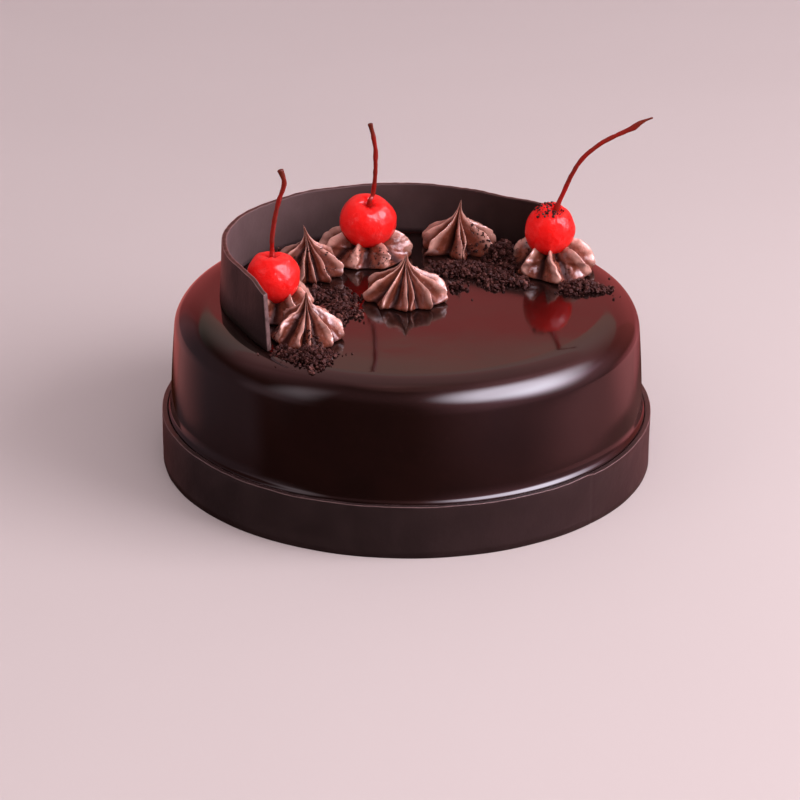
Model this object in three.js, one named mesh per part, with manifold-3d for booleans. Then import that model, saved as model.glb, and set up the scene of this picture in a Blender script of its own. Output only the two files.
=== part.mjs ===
// A small black forest gateau under a dark mirror glaze, in millimetres, +Z up.
//
// The cake stands in a low band of dark chocolate. On its top are a thin curved chocolate collar,
// piped chocolate kisses, piped rosettes that each hold a stemmed cherry, and heaps of dark crumbs.
// The origin is the centre of the cake's underside. The collar's opening faces -Y and +X.

import * as THREE from 'three';
import { mergeVertices } from 'three/addons/utils/BufferGeometryUtils.js';
import Module from 'manifold-3d';

const wasm = await Module();
wasm.setup();

// ---------------------------------------------------------------- driving dimensions

const GAP = 0.3; // between pieces that touch

const CAKE = {
  height: 64,
  foot_radius: 89.2,
  waist_radius: 88.6,
  waist_height: 20.4,
  brow_radius: 86.8,
  shoulder_width: 13.8,
  shoulder_drop: 12.2,
  around: 72,
};

const BAND = {
  outer_radius: 92,
  thickness: 2,
  height: 20.4,
  around: 80,
};

const COLLAR = {
  thickness: 2,
  start_deg: 228.6,
  end_deg: 39,
  back_radius: 64.2,
  left_bulge: 4.3,
  start_flare: 5.2,
  start_flare_deg: 22,
  end_flare: 5.4,
  end_flare_deg: 19,
  inward_lean: 1.2,
  start_height: 22.4,
  end_height: 19.4,
  steps: 60,
};

// Piped kisses: a fluted ogee cone on a bulging foot. turn_deg is the bearing of the first flute,
// and fullness is how far the shoulders of the flutes stand out half way up.
const KISSES = {
  kiss_front_left: {
    at: [-36.3, -42.0], radius: 13.8, height: 18.9, depth_ratio: 0.98, flutes: 8, fullness: 1.0,
    turn_deg: -97, twist_deg: 14, tip_lean: [1.4, 0.6], seed: 1.3,
  },
  kiss_back_left: {
    at: [-37.0, 20.4], radius: 13.2, height: 19.2, depth_ratio: 1.0, flutes: 7, fullness: 0.82,
    turn_deg: -76, twist_deg: -10, tip_lean: [-1.8, 0.4], seed: 2.9,
  },
  kiss_front_centre: {
    at: [-1.2, -3.6], radius: 16.2, height: 15.7, depth_ratio: 0.97, flutes: 8, fullness: 0.95,
    turn_deg: -92, twist_deg: 12, tip_lean: [0.5, 0.8], seed: 4.1,
  },
  kiss_back_centre: {
    at: [18.9, 44.6], radius: 16.4, height: 20.4, depth_ratio: 0.83, flutes: 9, fullness: 0.92,
    turn_deg: -86, twist_deg: 12, tip_lean: [1.2, 0.4], seed: 5.7,
  },
};

// Piped rosettes: kisses pressed down in the middle by the cherry that they hold.
const ROSETTES = {
  rosette_left: {
    at: [-47.4, -20.4], radius: 13.8, height: 11.4, depth_ratio: 1.0, flutes: 7,
    turn_deg: 8, twist_deg: 10, tip_lean: [0, 0], seed: 7.7,
  },
  rosette_centre: {
    at: [-16.2, 37.0], radius: 17.9, height: 11.2, depth_ratio: 0.88, flutes: 8,
    turn_deg: -58, twist_deg: 12, tip_lean: [0, 0], seed: 8.3,
  },
  rosette_right: {
    at: [54.2, 25.8], radius: 16.6, height: 12.0, depth_ratio: 0.97, flutes: 7,
    turn_deg: -92, twist_deg: -16, tip_lean: [0, 0], seed: 9.1,
  },
};

// Cherries: lean is the tilt of the stem end, in degrees, first towards -Y and then towards +X.
const CHERRIES = {
  cherry_left: { at: [-48.8, -22, 79.1], radius: 9.8, half_height: 9.7, lean_deg: [-4, -2], seed: 0.6 },
  cherry_centre: { at: [-15.3, 37, 78.7], radius: 10.8, half_height: 10.2, lean_deg: [22, 5], seed: 1.7 },
  cherry_right: { at: [53.6, 26, 80.1], radius: 9.5, half_height: 10.3, lean_deg: [6, 15], seed: 3.2 },
};
const DIMPLE = { depth: 2.6, width: 3.4 };

// Stems: centre lines that go on from the dimple to the cut end.
const STEM_RADIUS = 0.8;
const STEMS = {
  stem_left: {
    cherry: 'cherry_left', swell_end: 1.35, swell_foot: 1.1,
    points: [[-49.1, -22.5, 93.5], [-48.4, -22.5, 99.7], [-46.4, -22.5, 109.0], [-44.8, -22.5, 113.6],
      [-44.5, -22.5, 116.1], [-45.9, -22.5, 120.6]],
  },
  stem_centre: {
    cherry: 'cherry_centre', swell_end: 1.0, swell_foot: 1.1,
    points: [[-13.5, 34, 89.8], [-12.6, 34, 96], [-12.3, 34, 104], [-12.4, 34, 108.8], [-13.2, 34, 113.6],
      [-14.4, 34, 118.7]],
  },
  stem_right: {
    cherry: 'cherry_right', swell_end: 1.25, swell_foot: 1.1,
    points: [[57.9, 25, 94.0], [61.1, 25, 101.9], [64.5, 25, 107.9], [68.9, 25, 112.4], [73.4, 25, 115.7],
      [78.9, 25, 118.6], [83.5, 25, 120.9], [86.7, 25, 123.2], [90.6, 25, 124.9]],
  },
};

// Heaps of crumbs: an oval mound, how high its middle is, and how many crumbs lie on and round it.
const HEAPS = [
  { at: [-34.5, -61.8], half: [8.5, 5.2], turn_deg: -30, rise: 1.4, crumbs: 20 },
  { at: [-22.4, -18], half: [4.2, 11], turn_deg: -18, rise: 1.3, crumbs: 16 },
  { at: [21.5, 23.2], half: [13.5, 5.2], turn_deg: -4, rise: 2.0, crumbs: 20 },
  { at: [33.5, 8], half: [6, 9.5], turn_deg: 14, rise: 1.6, crumbs: 16 },
  { at: [66, 1.5], half: [9, 4.2], turn_deg: 16, rise: 1.3, crumbs: 14 },
];
const CRUMB = { smallest: 0.8, largest: 1.5, spread: 1.45, spacing: 2.4, clearance: 2.2 };

// Crumbs that stick to a topping: [bearing in degrees, share of the way up] on its skin.
const STRAY_CRUMBS = {
  cherry_right: [[118, 0.86], [160, 0.8], [205, 0.84], [80, 0.8], [235, 0.72]],
};

// ---------------------------------------------------------------- colours and finishes

const FINISH = {
  glaze: { color: 0x1f0d0b, roughness: 0.08, metalness: 0 },
  dark_chocolate: { color: 0x2b1a17, roughness: 0.5, metalness: 0 },
  piped_cream: { color: 0x5a2f25, roughness: 0.35, metalness: 0 },
  cherry: { color: 0xc8141a, roughness: 0.16, metalness: 0 },
  stem: { color: 0x7a1512, roughness: 0.45, metalness: 0 },
};

// ---------------------------------------------------------------- small helpers

const radians = THREE.MathUtils.degToRad;
const lerp = THREE.MathUtils.lerp;
const smoothstep = THREE.MathUtils.smoothstep;

/** A steady run of numbers from 0 to 1 for a seed (the mulberry32 generator). */
function randomFrom(seed) {
  let state = seed;
  return () => {
    state = (state + 0x6d2b79f5) | 0;
    let mixed = Math.imul(state ^ (state >>> 15), 1 | state);
    mixed = (mixed + Math.imul(mixed ^ (mixed >>> 7), 61 | mixed)) ^ mixed;
    return ((mixed ^ (mixed >>> 14)) >>> 0) / 4294967296;
  };
}

/** Joins vertices at one place and drops the slivers that this leaves at poles. */
function weld(geometry) {
  geometry.deleteAttribute('normal');
  geometry.deleteAttribute('uv');
  const welded = mergeVertices(geometry, 1e-4);
  const corners = welded.index.array;
  const kept = [];
  for (let i = 0; i < corners.length; i += 3) {
    const [a, b, c] = [corners[i], corners[i + 1], corners[i + 2]];
    if (a !== b && b !== c && c !== a) kept.push(a, b, c);
  }
  welded.setIndex(kept);
  return welded;
}

/** Moves every vertex by a function that edits a Vector3. */
function reshape(geometry, edit) {
  const position = geometry.attributes.position;
  const point = new THREE.Vector3();
  for (let i = 0; i < position.count; i += 1) {
    point.fromBufferAttribute(position, i);
    edit(point);
    position.setXYZ(i, point.x, point.y, point.z);
  }
  position.needsUpdate = true;
  return geometry;
}

/** A closed body of revolution about +Z, from a profile of [radius, height] pairs. */
function turned(profile, around) {
  const outline = profile.map(([radius, height]) => new THREE.Vector2(radius, height));
  const geometry = weld(new THREE.LatheGeometry(outline, around));
  return geometry.rotateX(Math.PI / 2);
}

function toSolid(geometry) {
  return new wasm.Manifold(new wasm.Mesh({
    numProp: 3,
    vertProperties: new Float32Array(geometry.attributes.position.array),
    triVerts: new Uint32Array(geometry.index.array),
  }));
}

function toGeometry(solid) {
  const mesh = solid.getMesh();
  const geometry = new THREE.BufferGeometry();
  geometry.setAttribute('position', new THREE.BufferAttribute(mesh.vertProperties, 3));
  geometry.setIndex(new THREE.BufferAttribute(mesh.triVerts, 1));
  return geometry;
}

const group = new THREE.Group();

/** Adds a named sub-part with its own material. */
function addPart(name, geometry, finish) {
  geometry.computeVertexNormals();
  const mesh = new THREE.Mesh(geometry, new THREE.MeshStandardMaterial({ ...FINISH[finish] }));
  mesh.name = name;
  group.add(mesh);
  return mesh;
}

// ---------------------------------------------------------------- the cake under its glaze

/** Height of the glazed surface at a distance from the axis. */
function surfaceHeight(distance) {
  const flat_radius = CAKE.brow_radius - CAKE.shoulder_width;
  const across = THREE.MathUtils.clamp((distance - flat_radius) / CAKE.shoulder_width, 0, 1);
  return CAKE.height - CAKE.shoulder_drop * (1 - Math.sqrt(1 - across * across));
}

function cakeProfile() {
  const profile = [[0, 0], [CAKE.foot_radius, 0], [CAKE.waist_radius, CAKE.waist_height]];
  const shoulder_steps = 8;
  const flat_radius = CAKE.brow_radius - CAKE.shoulder_width;
  for (let i = 0; i <= shoulder_steps; i += 1) {
    const angle = (Math.PI / 2) * (i / shoulder_steps);
    profile.push([
      flat_radius + CAKE.shoulder_width * Math.cos(angle),
      CAKE.height - CAKE.shoulder_drop * (1 - Math.sin(angle)),
    ]);
  }
  profile.push([0, CAKE.height]);
  return profile;
}

/** True where a crumb at this place would touch a topping or the collar. */
function isTaken(x, y) {
  const toppings = [...Object.values(KISSES), ...Object.values(ROSETTES)];
  const under_topping = toppings.some(({ at, radius }) => (
    Math.hypot(x - at[0], y - at[1]) < radius + CRUMB.clearance));
  if (under_topping) return true;
  const distance = Math.hypot(x, y);
  const bearing = bearingDegrees(x, y);
  const near_collar = Math.abs(distance - collarRadius(bearing)) < COLLAR.thickness + CRUMB.clearance;
  return near_collar && bearing > COLLAR.end_deg - 5 && bearing < COLLAR.start_deg + 5;
}

/** One rough crumb: a 20-sided body pulled out of shape. */
function crumbSolid(place, size, random) {
  const crumb = weld(new THREE.IcosahedronGeometry(size, 0));
  const stretch = [lerp(0.8, 1.35, random()), lerp(0.7, 1.1, random()), lerp(0.65, 0.95, random())];
  reshape(crumb, (point) => point.multiplyScalar(lerp(0.8, 1.15, random())));
  crumb.scale(...stretch);
  crumb.rotateZ(random() * 2 * Math.PI);
  return toSolid(crumb.translate(...place));
}

/** The low irregular mound that the crumbs of a heap lie on. */
function moundSolid(heap, random) {
  const mound = weld(new THREE.SphereGeometry(1, 12, 5));
  reshape(mound, (point) => point.multiplyScalar(lerp(0.82, 1.04, random())));
  mound.rotateX(Math.PI / 2);
  mound.scale(heap.half[0], heap.half[1], heap.rise);
  mound.rotateZ(radians(heap.turn_deg));
  const [x, y] = heap.at;
  return toSolid(mound.translate(x, y, surfaceHeight(Math.hypot(x, y) + 3) - 0.25));
}

/** The cake with its heaps of crumbs joined on. */
function cakeSolid() {
  let cake = toSolid(turned(cakeProfile(), CAKE.around));
  const random = randomFrom(21);
  for (const heap of HEAPS) {
    const turn = radians(heap.turn_deg);
    const placed = [];
    for (let tries = 0; placed.length < heap.crumbs && tries < 900; tries += 1) {
      const bearing = random() * 2 * Math.PI;
      const reach = Math.sqrt(random());
      const along = CRUMB.spread * heap.half[0] * reach * Math.cos(bearing);
      const across = CRUMB.spread * heap.half[1] * reach * Math.sin(bearing);
      const x = heap.at[0] + along * Math.cos(turn) - across * Math.sin(turn);
      const y = heap.at[1] + along * Math.sin(turn) + across * Math.cos(turn);
      const crowded = placed.some((other) => Math.hypot(x - other[0], y - other[1]) < CRUMB.spacing);
      if (crowded || isTaken(x, y)) continue;
      placed.push([x, y]);
      const size = lerp(CRUMB.smallest, CRUMB.largest, random() ** 2);
      const heaped = heap.rise * Math.max(0, 1 - (CRUMB.spread * reach) ** 2);
      const z = surfaceHeight(Math.hypot(x, y)) + heaped + size * 0.35;
      cake = cake.add(crumbSolid([x, y, z], size, random));
    }
    cake = cake.add(moundSolid(heap, random));
  }
  return largestPiece(cake);
}

/** Drops loose scraps that a join left. */
function largestPiece(solid) {
  const pieces = solid.decompose();
  return pieces.reduce((best, piece) => (piece.volume() > best.volume() ? piece : best));
}

// ---------------------------------------------------------------- the band round the foot

function bandGeometry() {
  const outer = BAND.outer_radius;
  const inner = outer - BAND.thickness;
  const profile = [[inner, 0], [outer, 0], [outer, BAND.height], [inner, BAND.height], [inner, 0]];
  return turned(profile, BAND.around);
}

// ---------------------------------------------------------------- the curved collar

/** Bearing from the axis in degrees, from -90 up to 270. */
function bearingDegrees(x, y) {
  const degrees = THREE.MathUtils.radToDeg(Math.atan2(y, x));
  return degrees < -90 ? degrees + 360 : degrees;
}

/** Radius of the collar's outer face at its foot, at a bearing. */
function collarRadius(bearing) {
  const to_left = smoothstep(bearing, 96, 176);
  const from_start = Math.max(0, 1 - (COLLAR.start_deg - bearing) / COLLAR.start_flare_deg);
  const from_end = Math.max(0, 1 - (bearing - COLLAR.end_deg) / COLLAR.end_flare_deg);
  return COLLAR.back_radius + COLLAR.inward_lean
    + COLLAR.left_bulge * to_left
    + COLLAR.start_flare * from_start ** 1.6
    + COLLAR.end_flare * from_end ** 1.6;
}

/** The collar's plan is extruded by one and then stretched to its height at each bearing. */
function collarGeometry() {
  const outer = [];
  const inner = [];
  for (let i = 0; i <= COLLAR.steps; i += 1) {
    const bearing = lerp(COLLAR.start_deg, COLLAR.end_deg, i / COLLAR.steps);
    const angle = radians(bearing);
    const radius = collarRadius(bearing);
    outer.push(new THREE.Vector2(radius * Math.cos(angle), radius * Math.sin(angle)));
    const inside = radius - COLLAR.thickness;
    inner.push(new THREE.Vector2(inside * Math.cos(angle), inside * Math.sin(angle)));
  }
  const plan = new THREE.Shape([...outer, ...inner.reverse()]);
  const geometry = weld(new THREE.ExtrudeGeometry(plan, { depth: 1, steps: 1, bevelEnabled: false }));
  return reshape(geometry, (point) => {
    const bearing = bearingDegrees(point.x, point.y);
    const along = (COLLAR.start_deg - bearing) / (COLLAR.start_deg - COLLAR.end_deg);
    const lean = COLLAR.inward_lean * point.z * smoothstep(COLLAR.start_deg - bearing, 0, 14);
    const distance = Math.hypot(point.x, point.y);
    const drawn_in = (distance - lean) / distance;
    point.x *= drawn_in;
    point.y *= drawn_in;
    const height = lerp(COLLAR.start_height, COLLAR.end_height, along);
    point.z = CAKE.height + GAP + (height - GAP) * point.z;
  });
}

// ---------------------------------------------------------------- piped kisses and rosettes

/** A number from -1 to 1 that only depends on a seed and a count. */
function wobble(seed, count) {
  return Math.sin(seed * 12.9898 + count * 78.233);
}

/** How the flutes shape a place at an angle counted from the first crest, in radians. */
function fluteAt(piping, angle, rise) {
  const crest = Math.abs(Math.cos((piping.flutes * angle) / 2)) ** lerp(0.85, 1.6, rise);
  const nearest = Math.round((piping.flutes * angle) / (2 * Math.PI));
  const flute = (nearest + piping.flutes) % piping.flutes;
  const uneven = 0.1 * Math.sin(angle + piping.seed) + 0.05 * Math.sin(2 * angle + 3 * piping.seed);
  const bearing = angle + uneven + radians(piping.turn_deg + piping.twist_deg * rise);
  return { crest, bearing, swell: wobble(piping.seed, flute) };
}

const FOOT_RISE = 0.13; // where a kiss is widest, as a share of its height

/** A kiss: a bulging foot, then an ogee up to the tip, as [share of radius, share of height]. */
function kissForm(kiss) {
  const rings = [[0.85, 0], [0.96, 0.05], [1, FOOT_RISE]];
  const upper_steps = 8;
  for (let i = 1; i <= upper_steps; i += 1) {
    const up = i / upper_steps;
    const ogee = (0.5 + 0.5 * Math.cos(Math.PI * up ** kiss.fullness)) ** 0.8;
    rings.push([i < upper_steps ? ogee : 0, lerp(FOOT_RISE, 1, up)]);
  }
  const depthAt = (share, rise) => lerp(0.25, 0.52, smoothstep(rise, 0.05, 0.7));
  return { rings, depthAt, hollow: 0 };
}

/** A rosette: out over its bulging rim and back in to the middle. */
function rosetteForm() {
  const rings = [
    [0.84, 0], [0.97, 0.1], [1, 0.28], [0.97, 0.46], [0.88, 0.66], [0.74, 0.84], [0.57, 0.97],
    [0.4, 1], [0, 0.86],
  ];
  const depthAt = (share) => 0.34 * smoothstep(share, 0.1, 0.7);
  return { rings, depthAt, hollow: 0.34 };
}

/** A fluted body on the cake's top: rings turned on a lathe, then drawn into flutes. */
function pipedGeometry(piping, grow = 0) {
  const form = piping.fullness ? kissForm(piping) : rosetteForm();
  const geometry = turned([[0, 0], ...form.rings], piping.flutes * 4);
  const foot = CAKE.height + (grow > 0 ? -grow : GAP);
  const top = CAKE.height + GAP + piping.height + grow;
  return reshape(geometry, (point) => {
    const rise = point.z;
    const share = Math.hypot(point.x, point.y);
    const { crest, bearing, swell } = fluteAt(piping, Math.atan2(point.y, point.x), rise);
    const drawn = 1 - form.depthAt(share, rise) * (1 - crest) + 0.07 * swell * crest * (1 - rise);
    const reach = share * (piping.radius + grow) * drawn;
    const bend = rise ** 3;
    point.x = piping.at[0] + reach * Math.cos(bearing) + piping.tip_lean[0] * bend;
    point.y = piping.at[1] + reach * Math.sin(bearing) * piping.depth_ratio + piping.tip_lean[1] * bend;
    const sunk = form.hollow * (1 - crest) * smoothstep(rise, 0.4, 1) * smoothstep(share, 0.15, 0.6);
    point.z = lerp(foot, top, rise * (1 - sunk));
  });
}

// ---------------------------------------------------------------- cherries and stems

/** A cherry about its own centre, with the dimple at the top. */
function cherryGeometry(cherry, grow = 0) {
  const rings = 12;
  const profile = [];
  for (let i = 0; i <= rings; i += 1) {
    const angle = Math.PI * (i / rings - 0.5);
    const radius = i === 0 || i === rings ? 0 : cherry.radius * Math.cos(angle) ** 0.92;
    const dimple = angle > 0 ? DIMPLE.depth * Math.exp(-((radius / DIMPLE.width) ** 2)) : 0;
    profile.push([radius, cherry.half_height * Math.sin(angle) - dimple]);
  }
  const geometry = turned(profile, 18);
  return reshape(geometry, (point) => {
    const angle = Math.atan2(point.y, point.x);
    const lump = 1 + 0.016 * Math.sin(3 * angle + cherry.seed) + 0.012 * Math.sin(2 * angle + 5 * cherry.seed);
    point.multiplyScalar(lump + grow / cherry.radius);
  });
}

/** Turns a cherry so that its stem end leans, and puts it in its place. */
function cherryMatrix(cherry) {
  const [forward, sideways] = cherry.lean_deg;
  const turn = new THREE.Matrix4().makeRotationFromEuler(
    new THREE.Euler(radians(forward), radians(sideways), 0, 'XYZ'));
  return turn.setPosition(...cherry.at);
}

/** Bottom of a cherry's dimple, a given height above the skin. */
function dimplePoint(cherry, above) {
  const depth = cherry.half_height - DIMPLE.depth;
  return new THREE.Vector3(0, 0, depth + above).applyMatrix4(cherryMatrix(cherry));
}

/** A tube along a curve, thicker at its foot and its cut end. */
function stemGeometry(stem) {
  const cherry = CHERRIES[stem.cherry];
  const path = new THREE.CatmullRomCurve3([
    dimplePoint(cherry, 0.6),
    dimplePoint(cherry, 3),
    ...stem.points.map((point) => new THREE.Vector3(...point)),
  ], false, 'centripetal');
  const section = new THREE.Shape().absarc(0, 0, STEM_RADIUS, 0, 2 * Math.PI);
  const geometry = weld(new THREE.ExtrudeGeometry(section, {
    steps: 24, curveSegments: 3, bevelEnabled: false, extrudePath: path,
  }));
  const samples = path.getSpacedPoints(96);
  return reshape(geometry, (point) => {
    const along = nearestShare(samples, point);
    const centre = path.getPointAt(along);
    const at_foot = (stem.swell_foot - 1) * (1 - smoothstep(along, 0, 0.12));
    const at_end = (stem.swell_end - 1) * smoothstep(along, 0.9, 1);
    point.sub(centre).multiplyScalar(1 + at_foot + at_end).add(centre);
  });
}

/** How far along a run of evenly spaced points a point lies, from 0 to 1. */
function nearestShare(samples, point) {
  let best = 0;
  for (let i = 1; i < samples.length; i += 1) {
    if (samples[i].distanceTo(point) < samples[best].distanceTo(point)) best = i;
  }
  return best / (samples.length - 1);
}

// ---------------------------------------------------------------- assembly

addPart('cake', toGeometry(cakeSolid()), 'glaze');
addPart('base_band', bandGeometry(), 'dark_chocolate');
addPart('collar', collarGeometry(), 'dark_chocolate');

for (const [name, kiss] of Object.entries(KISSES)) {
  addPart(name, pipedGeometry(kiss), 'piped_cream');
}

for (const [name, rosette] of Object.entries(ROSETTES)) {
  const cherry = CHERRIES[name.replace('rosette', 'cherry')];
  const hollow = toSolid(cherryGeometry(cherry, GAP).applyMatrix4(cherryMatrix(cherry)));
  let solid = toSolid(pipedGeometry(rosette)).subtract(hollow);
  for (const kiss of Object.values(KISSES)) {
    solid = solid.subtract(toSolid(pipedGeometry(kiss, 2 * GAP)));
  }
  addPart(name, toGeometry(largestPiece(solid)), 'piped_cream');
}

for (const [name, cherry] of Object.entries(CHERRIES)) {
  let solid = toSolid(cherryGeometry(cherry));
  const random = randomFrom(5);
  for (const [bearing_deg, up] of STRAY_CRUMBS[name] ?? []) {
    const reach = cherry.radius * Math.sqrt(1 - up * up) * 1.02;
    const bearing = radians(bearing_deg);
    const place = [reach * Math.cos(bearing), reach * Math.sin(bearing), cherry.half_height * up];
    solid = solid.add(crumbSolid(place, CRUMB.smallest, random));
  }
  const mesh = addPart(name, toGeometry(solid), 'cherry');
  mesh.applyMatrix4(cherryMatrix(cherry));
}

for (const [name, stem] of Object.entries(STEMS)) {
  addPart(name, stemGeometry(stem), 'stem');
}

export default group;
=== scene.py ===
"""A small black forest gateau under a dark mirror glaze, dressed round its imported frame.

The frame gives every place and size. Here each piece is made again as a fine mesh, in millimetres
until it is handed to Blender, and gets its finish: the mirror glaze, the tempered chocolate of the
band and the collar, the piped cream, the syrupy cherries with their stalks, and the crumbs.
+Z is up, -Y faces the camera, and the origin is the centre of the cake's underside.
"""

import logging
import math
from dataclasses import dataclass, field
from enum import Enum

import bpy
import numpy as np
from mathutils import Matrix, Vector
from mathutils.bvhtree import BVHTree


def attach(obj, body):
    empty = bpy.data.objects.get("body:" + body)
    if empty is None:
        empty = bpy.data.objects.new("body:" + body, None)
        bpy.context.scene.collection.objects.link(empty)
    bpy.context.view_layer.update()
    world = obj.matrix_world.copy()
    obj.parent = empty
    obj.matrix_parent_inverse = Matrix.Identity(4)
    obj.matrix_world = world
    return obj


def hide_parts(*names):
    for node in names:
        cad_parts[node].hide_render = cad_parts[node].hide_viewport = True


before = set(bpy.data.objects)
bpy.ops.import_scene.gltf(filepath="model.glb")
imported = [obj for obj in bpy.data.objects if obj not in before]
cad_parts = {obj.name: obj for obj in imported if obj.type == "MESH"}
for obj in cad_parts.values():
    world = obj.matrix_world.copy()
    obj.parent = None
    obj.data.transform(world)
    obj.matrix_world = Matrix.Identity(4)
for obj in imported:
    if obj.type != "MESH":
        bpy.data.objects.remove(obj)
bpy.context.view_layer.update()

# Heights in millimetres: the glaze's top, the band's upper edge, and a place above every piece.
TOP, BAND_TOP, ABOVE_ALL = 64.0, 20.4, 130.0
PIPING_CRUMB_SEED, CHERRY_CRUMB_SEED = 44, 45
BODY = "root"
MM = 0.001
TAU = 2 * math.pi
Triple = tuple[float, float, float]
Colour = Triple
log = logging.getLogger("gateau")


# ---------------------------------------------------------------- choices


class Slot(Enum):
    """The record's material slots."""

    GLAZE = "glaze"
    CHOCOLATE = "dark_chocolate"
    CREAM = "piped_cream"
    CHERRY = "cherry"
    STEM = "stem"
    CRUMB = "crumb"


class Mask(Enum):
    """Named values that a mesh carries on its points for its finish."""

    CREST = "crest"
    EDGE = "edge"
    ALONG = "along"
    TONE = "tone"


# ---------------------------------------------------------------- numbers and curves


def smoothstep(value: np.ndarray, low: float, high: float) -> np.ndarray:
    """Rises smoothly from 0 at low to 1 at high."""
    share = np.clip((np.asarray(value, float) - low) / (high - low), 0, 1)
    return share * share * (3 - 2 * share)


def lerp(start: float, end: float, share: np.ndarray) -> np.ndarray:
    """Goes evenly from start to end as share goes from 0 to 1."""
    return start + (end - start) * share


def waves(points: np.ndarray, length: float, seed: int, count: int = 9) -> np.ndarray:
    """A smooth uneven field over points in space.

    Args:
        points: Rows of x, y, z in millimetres.
        length: Typical distance from one rise to the next.
        seed: Fixes the directions of the waves.
        count: How many waves are added.

    Returns:
        One value a point, mostly from -1 to 1.
    """
    random = np.random.default_rng(seed)
    total = np.zeros(len(points))
    for _ in range(count):
        heading = random.normal(size=3)
        heading *= TAU / length * random.uniform(0.6, 1.7) / np.linalg.norm(heading)
        total += np.sin(points @ heading + random.uniform(0, TAU))
    return total / math.sqrt(count)


def smooth_line(points: np.ndarray, steps: int) -> np.ndarray:
    """A centripetal Catmull-Rom curve through points, as evenly spaced places along it.

    Args:
        points: The places that the curve passes through, one a row.
        steps: How many places to return.

    Returns:
        The places, one a row.
    """
    knots = np.asarray(points, float)
    padded = np.vstack([2 * knots[0] - knots[1], knots, 2 * knots[-1] - knots[-2]])
    dense = []
    for i in range(1, len(padded) - 2):
        four = padded[i - 1:i + 3]
        spans = np.maximum(np.sqrt(np.linalg.norm(np.diff(four, axis=0), axis=1)), 1e-6)
        t0, t1, t2, t3 = np.concatenate([[0], np.cumsum(spans)])
        for t in np.linspace(t1, t2, 24, endpoint=False):
            a1 = four[0] + (four[1] - four[0]) * (t - t0) / (t1 - t0)
            a2 = four[1] + (four[2] - four[1]) * (t - t1) / (t2 - t1)
            a3 = four[2] + (four[3] - four[2]) * (t - t2) / (t3 - t2)
            b1 = a1 + (a2 - a1) * (t - t0) / (t2 - t0)
            b2 = a2 + (a3 - a2) * (t - t1) / (t3 - t1)
            dense.append(b1 + (b2 - b1) * (t - t1) / (t2 - t1))
    dense = np.array([*dense, knots[-1]])
    run = np.concatenate([[0], np.cumsum(np.linalg.norm(np.diff(dense, axis=0), axis=1))])
    wanted = np.linspace(0, run[-1], steps)
    return np.stack([np.interp(wanted, run, dense[:, k]) for k in range(dense.shape[1])], axis=1)


# ---------------------------------------------------------------- meshes in the making


@dataclass
class Skin:
    """A mesh in the making.

    Attributes:
        points: Rows of x, y, z in millimetres.
        faces: The corners of each face.
        masks: Named values on the points.
    """

    points: np.ndarray
    faces: list[tuple[int, ...]]
    masks: dict[Mask, np.ndarray] = field(default_factory=dict)

    def tree(self) -> BVHTree:
        """A tree for finding the nearest place on this skin."""
        return BVHTree.FromPolygons([tuple(p) for p in self.points], self.faces)

    def to_object(self, name: str, smooth: bool = True) -> bpy.types.Object:
        """Makes the Blender object.

        Args:
            name: The piece's name.
            smooth: False for crisp facets, as on crumbs.

        Returns:
            The object, in metres in the row frame.
        """
        mesh = bpy.data.meshes.new(name)
        mesh.from_pydata((self.points * MM).tolist(), [], self.faces)
        for mask, values in self.masks.items():
            attribute = mesh.attributes.new(mask.value, "FLOAT", "POINT")
            attribute.data.foreach_set("value", values.astype(np.float32))
        mesh.polygons.foreach_set("use_smooth", [smooth] * len(mesh.polygons))
        mesh.update()
        made = bpy.data.objects.new(name, mesh)
        bpy.context.scene.collection.objects.link(made)
        return made


def ring_faces(rings: int, around: int, closed: bool = False) -> list[tuple[int, ...]]:
    """Faces between rings of points, facing outwards where the rings go upwards.

    Args:
        rings: How many rings there are.
        around: Points in each ring.
        closed: True where the last ring joins the first.

    Returns:
        The four corners of each face.
    """
    faces = []
    for i in range(rings if closed else rings - 1):
        low, high = i * around, (i + 1) % rings * around
        for j in range(around):
            k = (j + 1) % around
            faces.append((low + j, low + k, high + k, high + j))
    return faces


def capped_rings(rings: int, around: int) -> list[tuple[int, ...]]:
    """Faces of a body of rings that closes on one point below and one above.

    The lower point follows the rings in the list of points, and the upper point comes last.

    Args:
        rings: How many rings there are.
        around: Points in each ring.

    Returns:
        The corners of each face.
    """
    below, above = rings * around, rings * around + 1
    top = (rings - 1) * around
    faces = ring_faces(rings, around)
    for j in range(around):
        k = (j + 1) % around
        faces.append((below, k, j))
        faces.append((top + j, top + k, above))
    return faces


def turned(profile: np.ndarray, around: int) -> tuple[np.ndarray, np.ndarray, np.ndarray]:
    """Turns an outline round the axis.

    Args:
        profile: Radius and height of each place on the outline.
        around: Points in each ring.

    Returns:
        The points, ring by ring, and the radius and the bearing in radians of each.
    """
    radius, height = (np.repeat(column, around) for column in np.asarray(profile).T)
    turn = np.tile(np.linspace(0, TAU, around, endpoint=False), len(profile))
    return np.stack([radius * np.cos(turn), radius * np.sin(turn), height], axis=1), radius, turn


def mirrored_ends(values: np.ndarray, between: float, count: int) -> np.ndarray:
    """A column of one value, but with given values at both ends.

    Args:
        values: The values at its start, which its end repeats the other way round.
        between: The value of all the others.
        count: How many values it has.

    Returns:
        The values, one a row.
    """
    column = np.full((count, 1), between)
    column[:len(values), 0], column[-len(values):, 0] = values, values[::-1]
    return column


def move_outwards(points: np.ndarray, radius: np.ndarray, amount: np.ndarray) -> None:
    """Moves points at known distances from the axis straight away from it."""
    points[:, :2] += points[:, :2] / np.maximum(radius, 1e-6)[:, None] * amount[:, None]


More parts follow.
